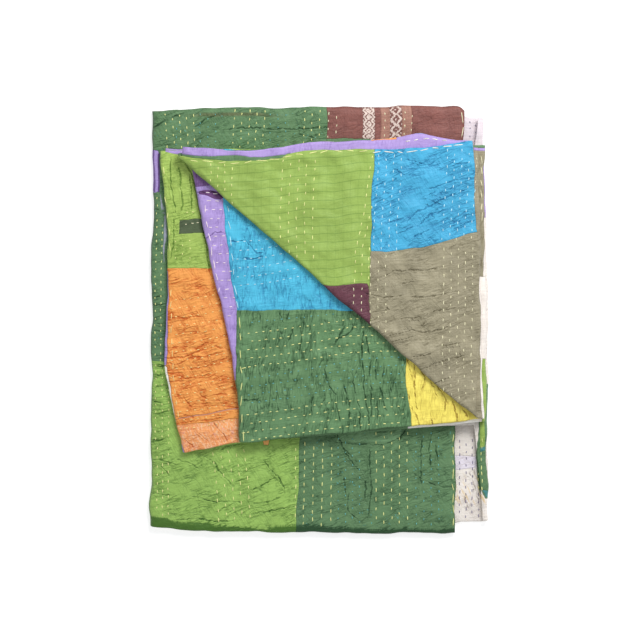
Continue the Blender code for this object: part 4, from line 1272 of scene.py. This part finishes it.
for name, lines in stitches.items():
    if not lines:
        continue
    made = bead_mesh(f"stitches_{name}", lines)
    made.materials.append(cotton(name, THREADS[name]))
    piece = bpy.data.objects.new(f"stitches_{name}", made)
    bpy.context.scene.collection.objects.link(piece)
    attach(piece, "root")

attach(cloth, "root")
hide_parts("quilt")

# The studio: a plain white floor, a pale sky of light all round, and one soft lamp from the upper right.
FLOOR_SIZE, FLOOR_LEVEL = 6.0, -0.5 * MM
floor_corners = [(x * FLOOR_SIZE, y * FLOOR_SIZE, FLOOR_LEVEL) for x,
    y in ((-1, -1), (1, -1), (1, 1), (-1, 1))]
floor_mesh = bpy.data.meshes.new("floor")
floor_mesh.from_pydata(floor_corners, [], [(0, 1, 2, 3)])
floor = bpy.data.objects.new("floor", floor_mesh)
bpy.context.scene.collection.objects.link(floor)
paper = bpy.data.materials.new("white paper")
paper.use_nodes = True
paper_shader = paper.node_tree.nodes["Principled BSDF"]
paper_shader.inputs["Base Color"].default_value = (0.46, 0.46, 0.46, 1)
paper_shader.inputs["Roughness"].default_value = 0.9
paper_shader.inputs["Emission Color"].default_value = (1, 1, 1, 1)
paper_shader.inputs["Emission Strength"].default_value = 0.7
floor_mesh.materials.append(paper)

world = bpy.data.worlds.new("studio")
world.use_nodes = True
world.node_tree.nodes["Background"].inputs["Color"].default_value = (0.96, 0.98, 1.0, 1)
world.node_tree.nodes["Background"].inputs["Strength"].default_value = 0.56
bpy.context.scene.world = world

LAMP_PLACE, LAMP_SIZE, LAMP_POWER = (0.62, 1.2, 1.45), 0.9, 29
lamp_data = bpy.data.lights.new("soft lamp", "AREA")
lamp_data.shape = "DISK"
lamp_data.size = LAMP_SIZE
lamp_data.energy = LAMP_POWER
lamp = bpy.data.objects.new("soft lamp", lamp_data)
lamp.location = LAMP_PLACE
lamp.rotation_mode = "QUATERNION"
lamp.rotation_quaternion = (-Vector(LAMP_PLACE)).to_track_quat("-Z", "Y")
bpy.context.scene.collection.objects.link(lamp)

# The camera looks straight down from far above. The picture is 832 mm wide at the cloth, 1.3 mm a pixel.
CAMERA_HEIGHT, CLOTH_HEIGHT, PICTURE_WIDTH, SENSOR = 6.0, 15 * MM, 0.832, 36
camera_data = bpy.data.cameras.new("camera")
camera_data.sensor_width = SENSOR
camera_data.lens = SENSOR * (CAMERA_HEIGHT - CLOTH_HEIGHT) / PICTURE_WIDTH
camera_data.clip_end = 50
camera = bpy.data.objects.new("camera", camera_data)
camera.location = (SHIFT[0], SHIFT[1], CAMERA_HEIGHT)
bpy.context.scene.collection.objects.link(camera)
bpy.context.scene.camera = camera
bpy.context.scene.view_settings.view_transform = "Standard"
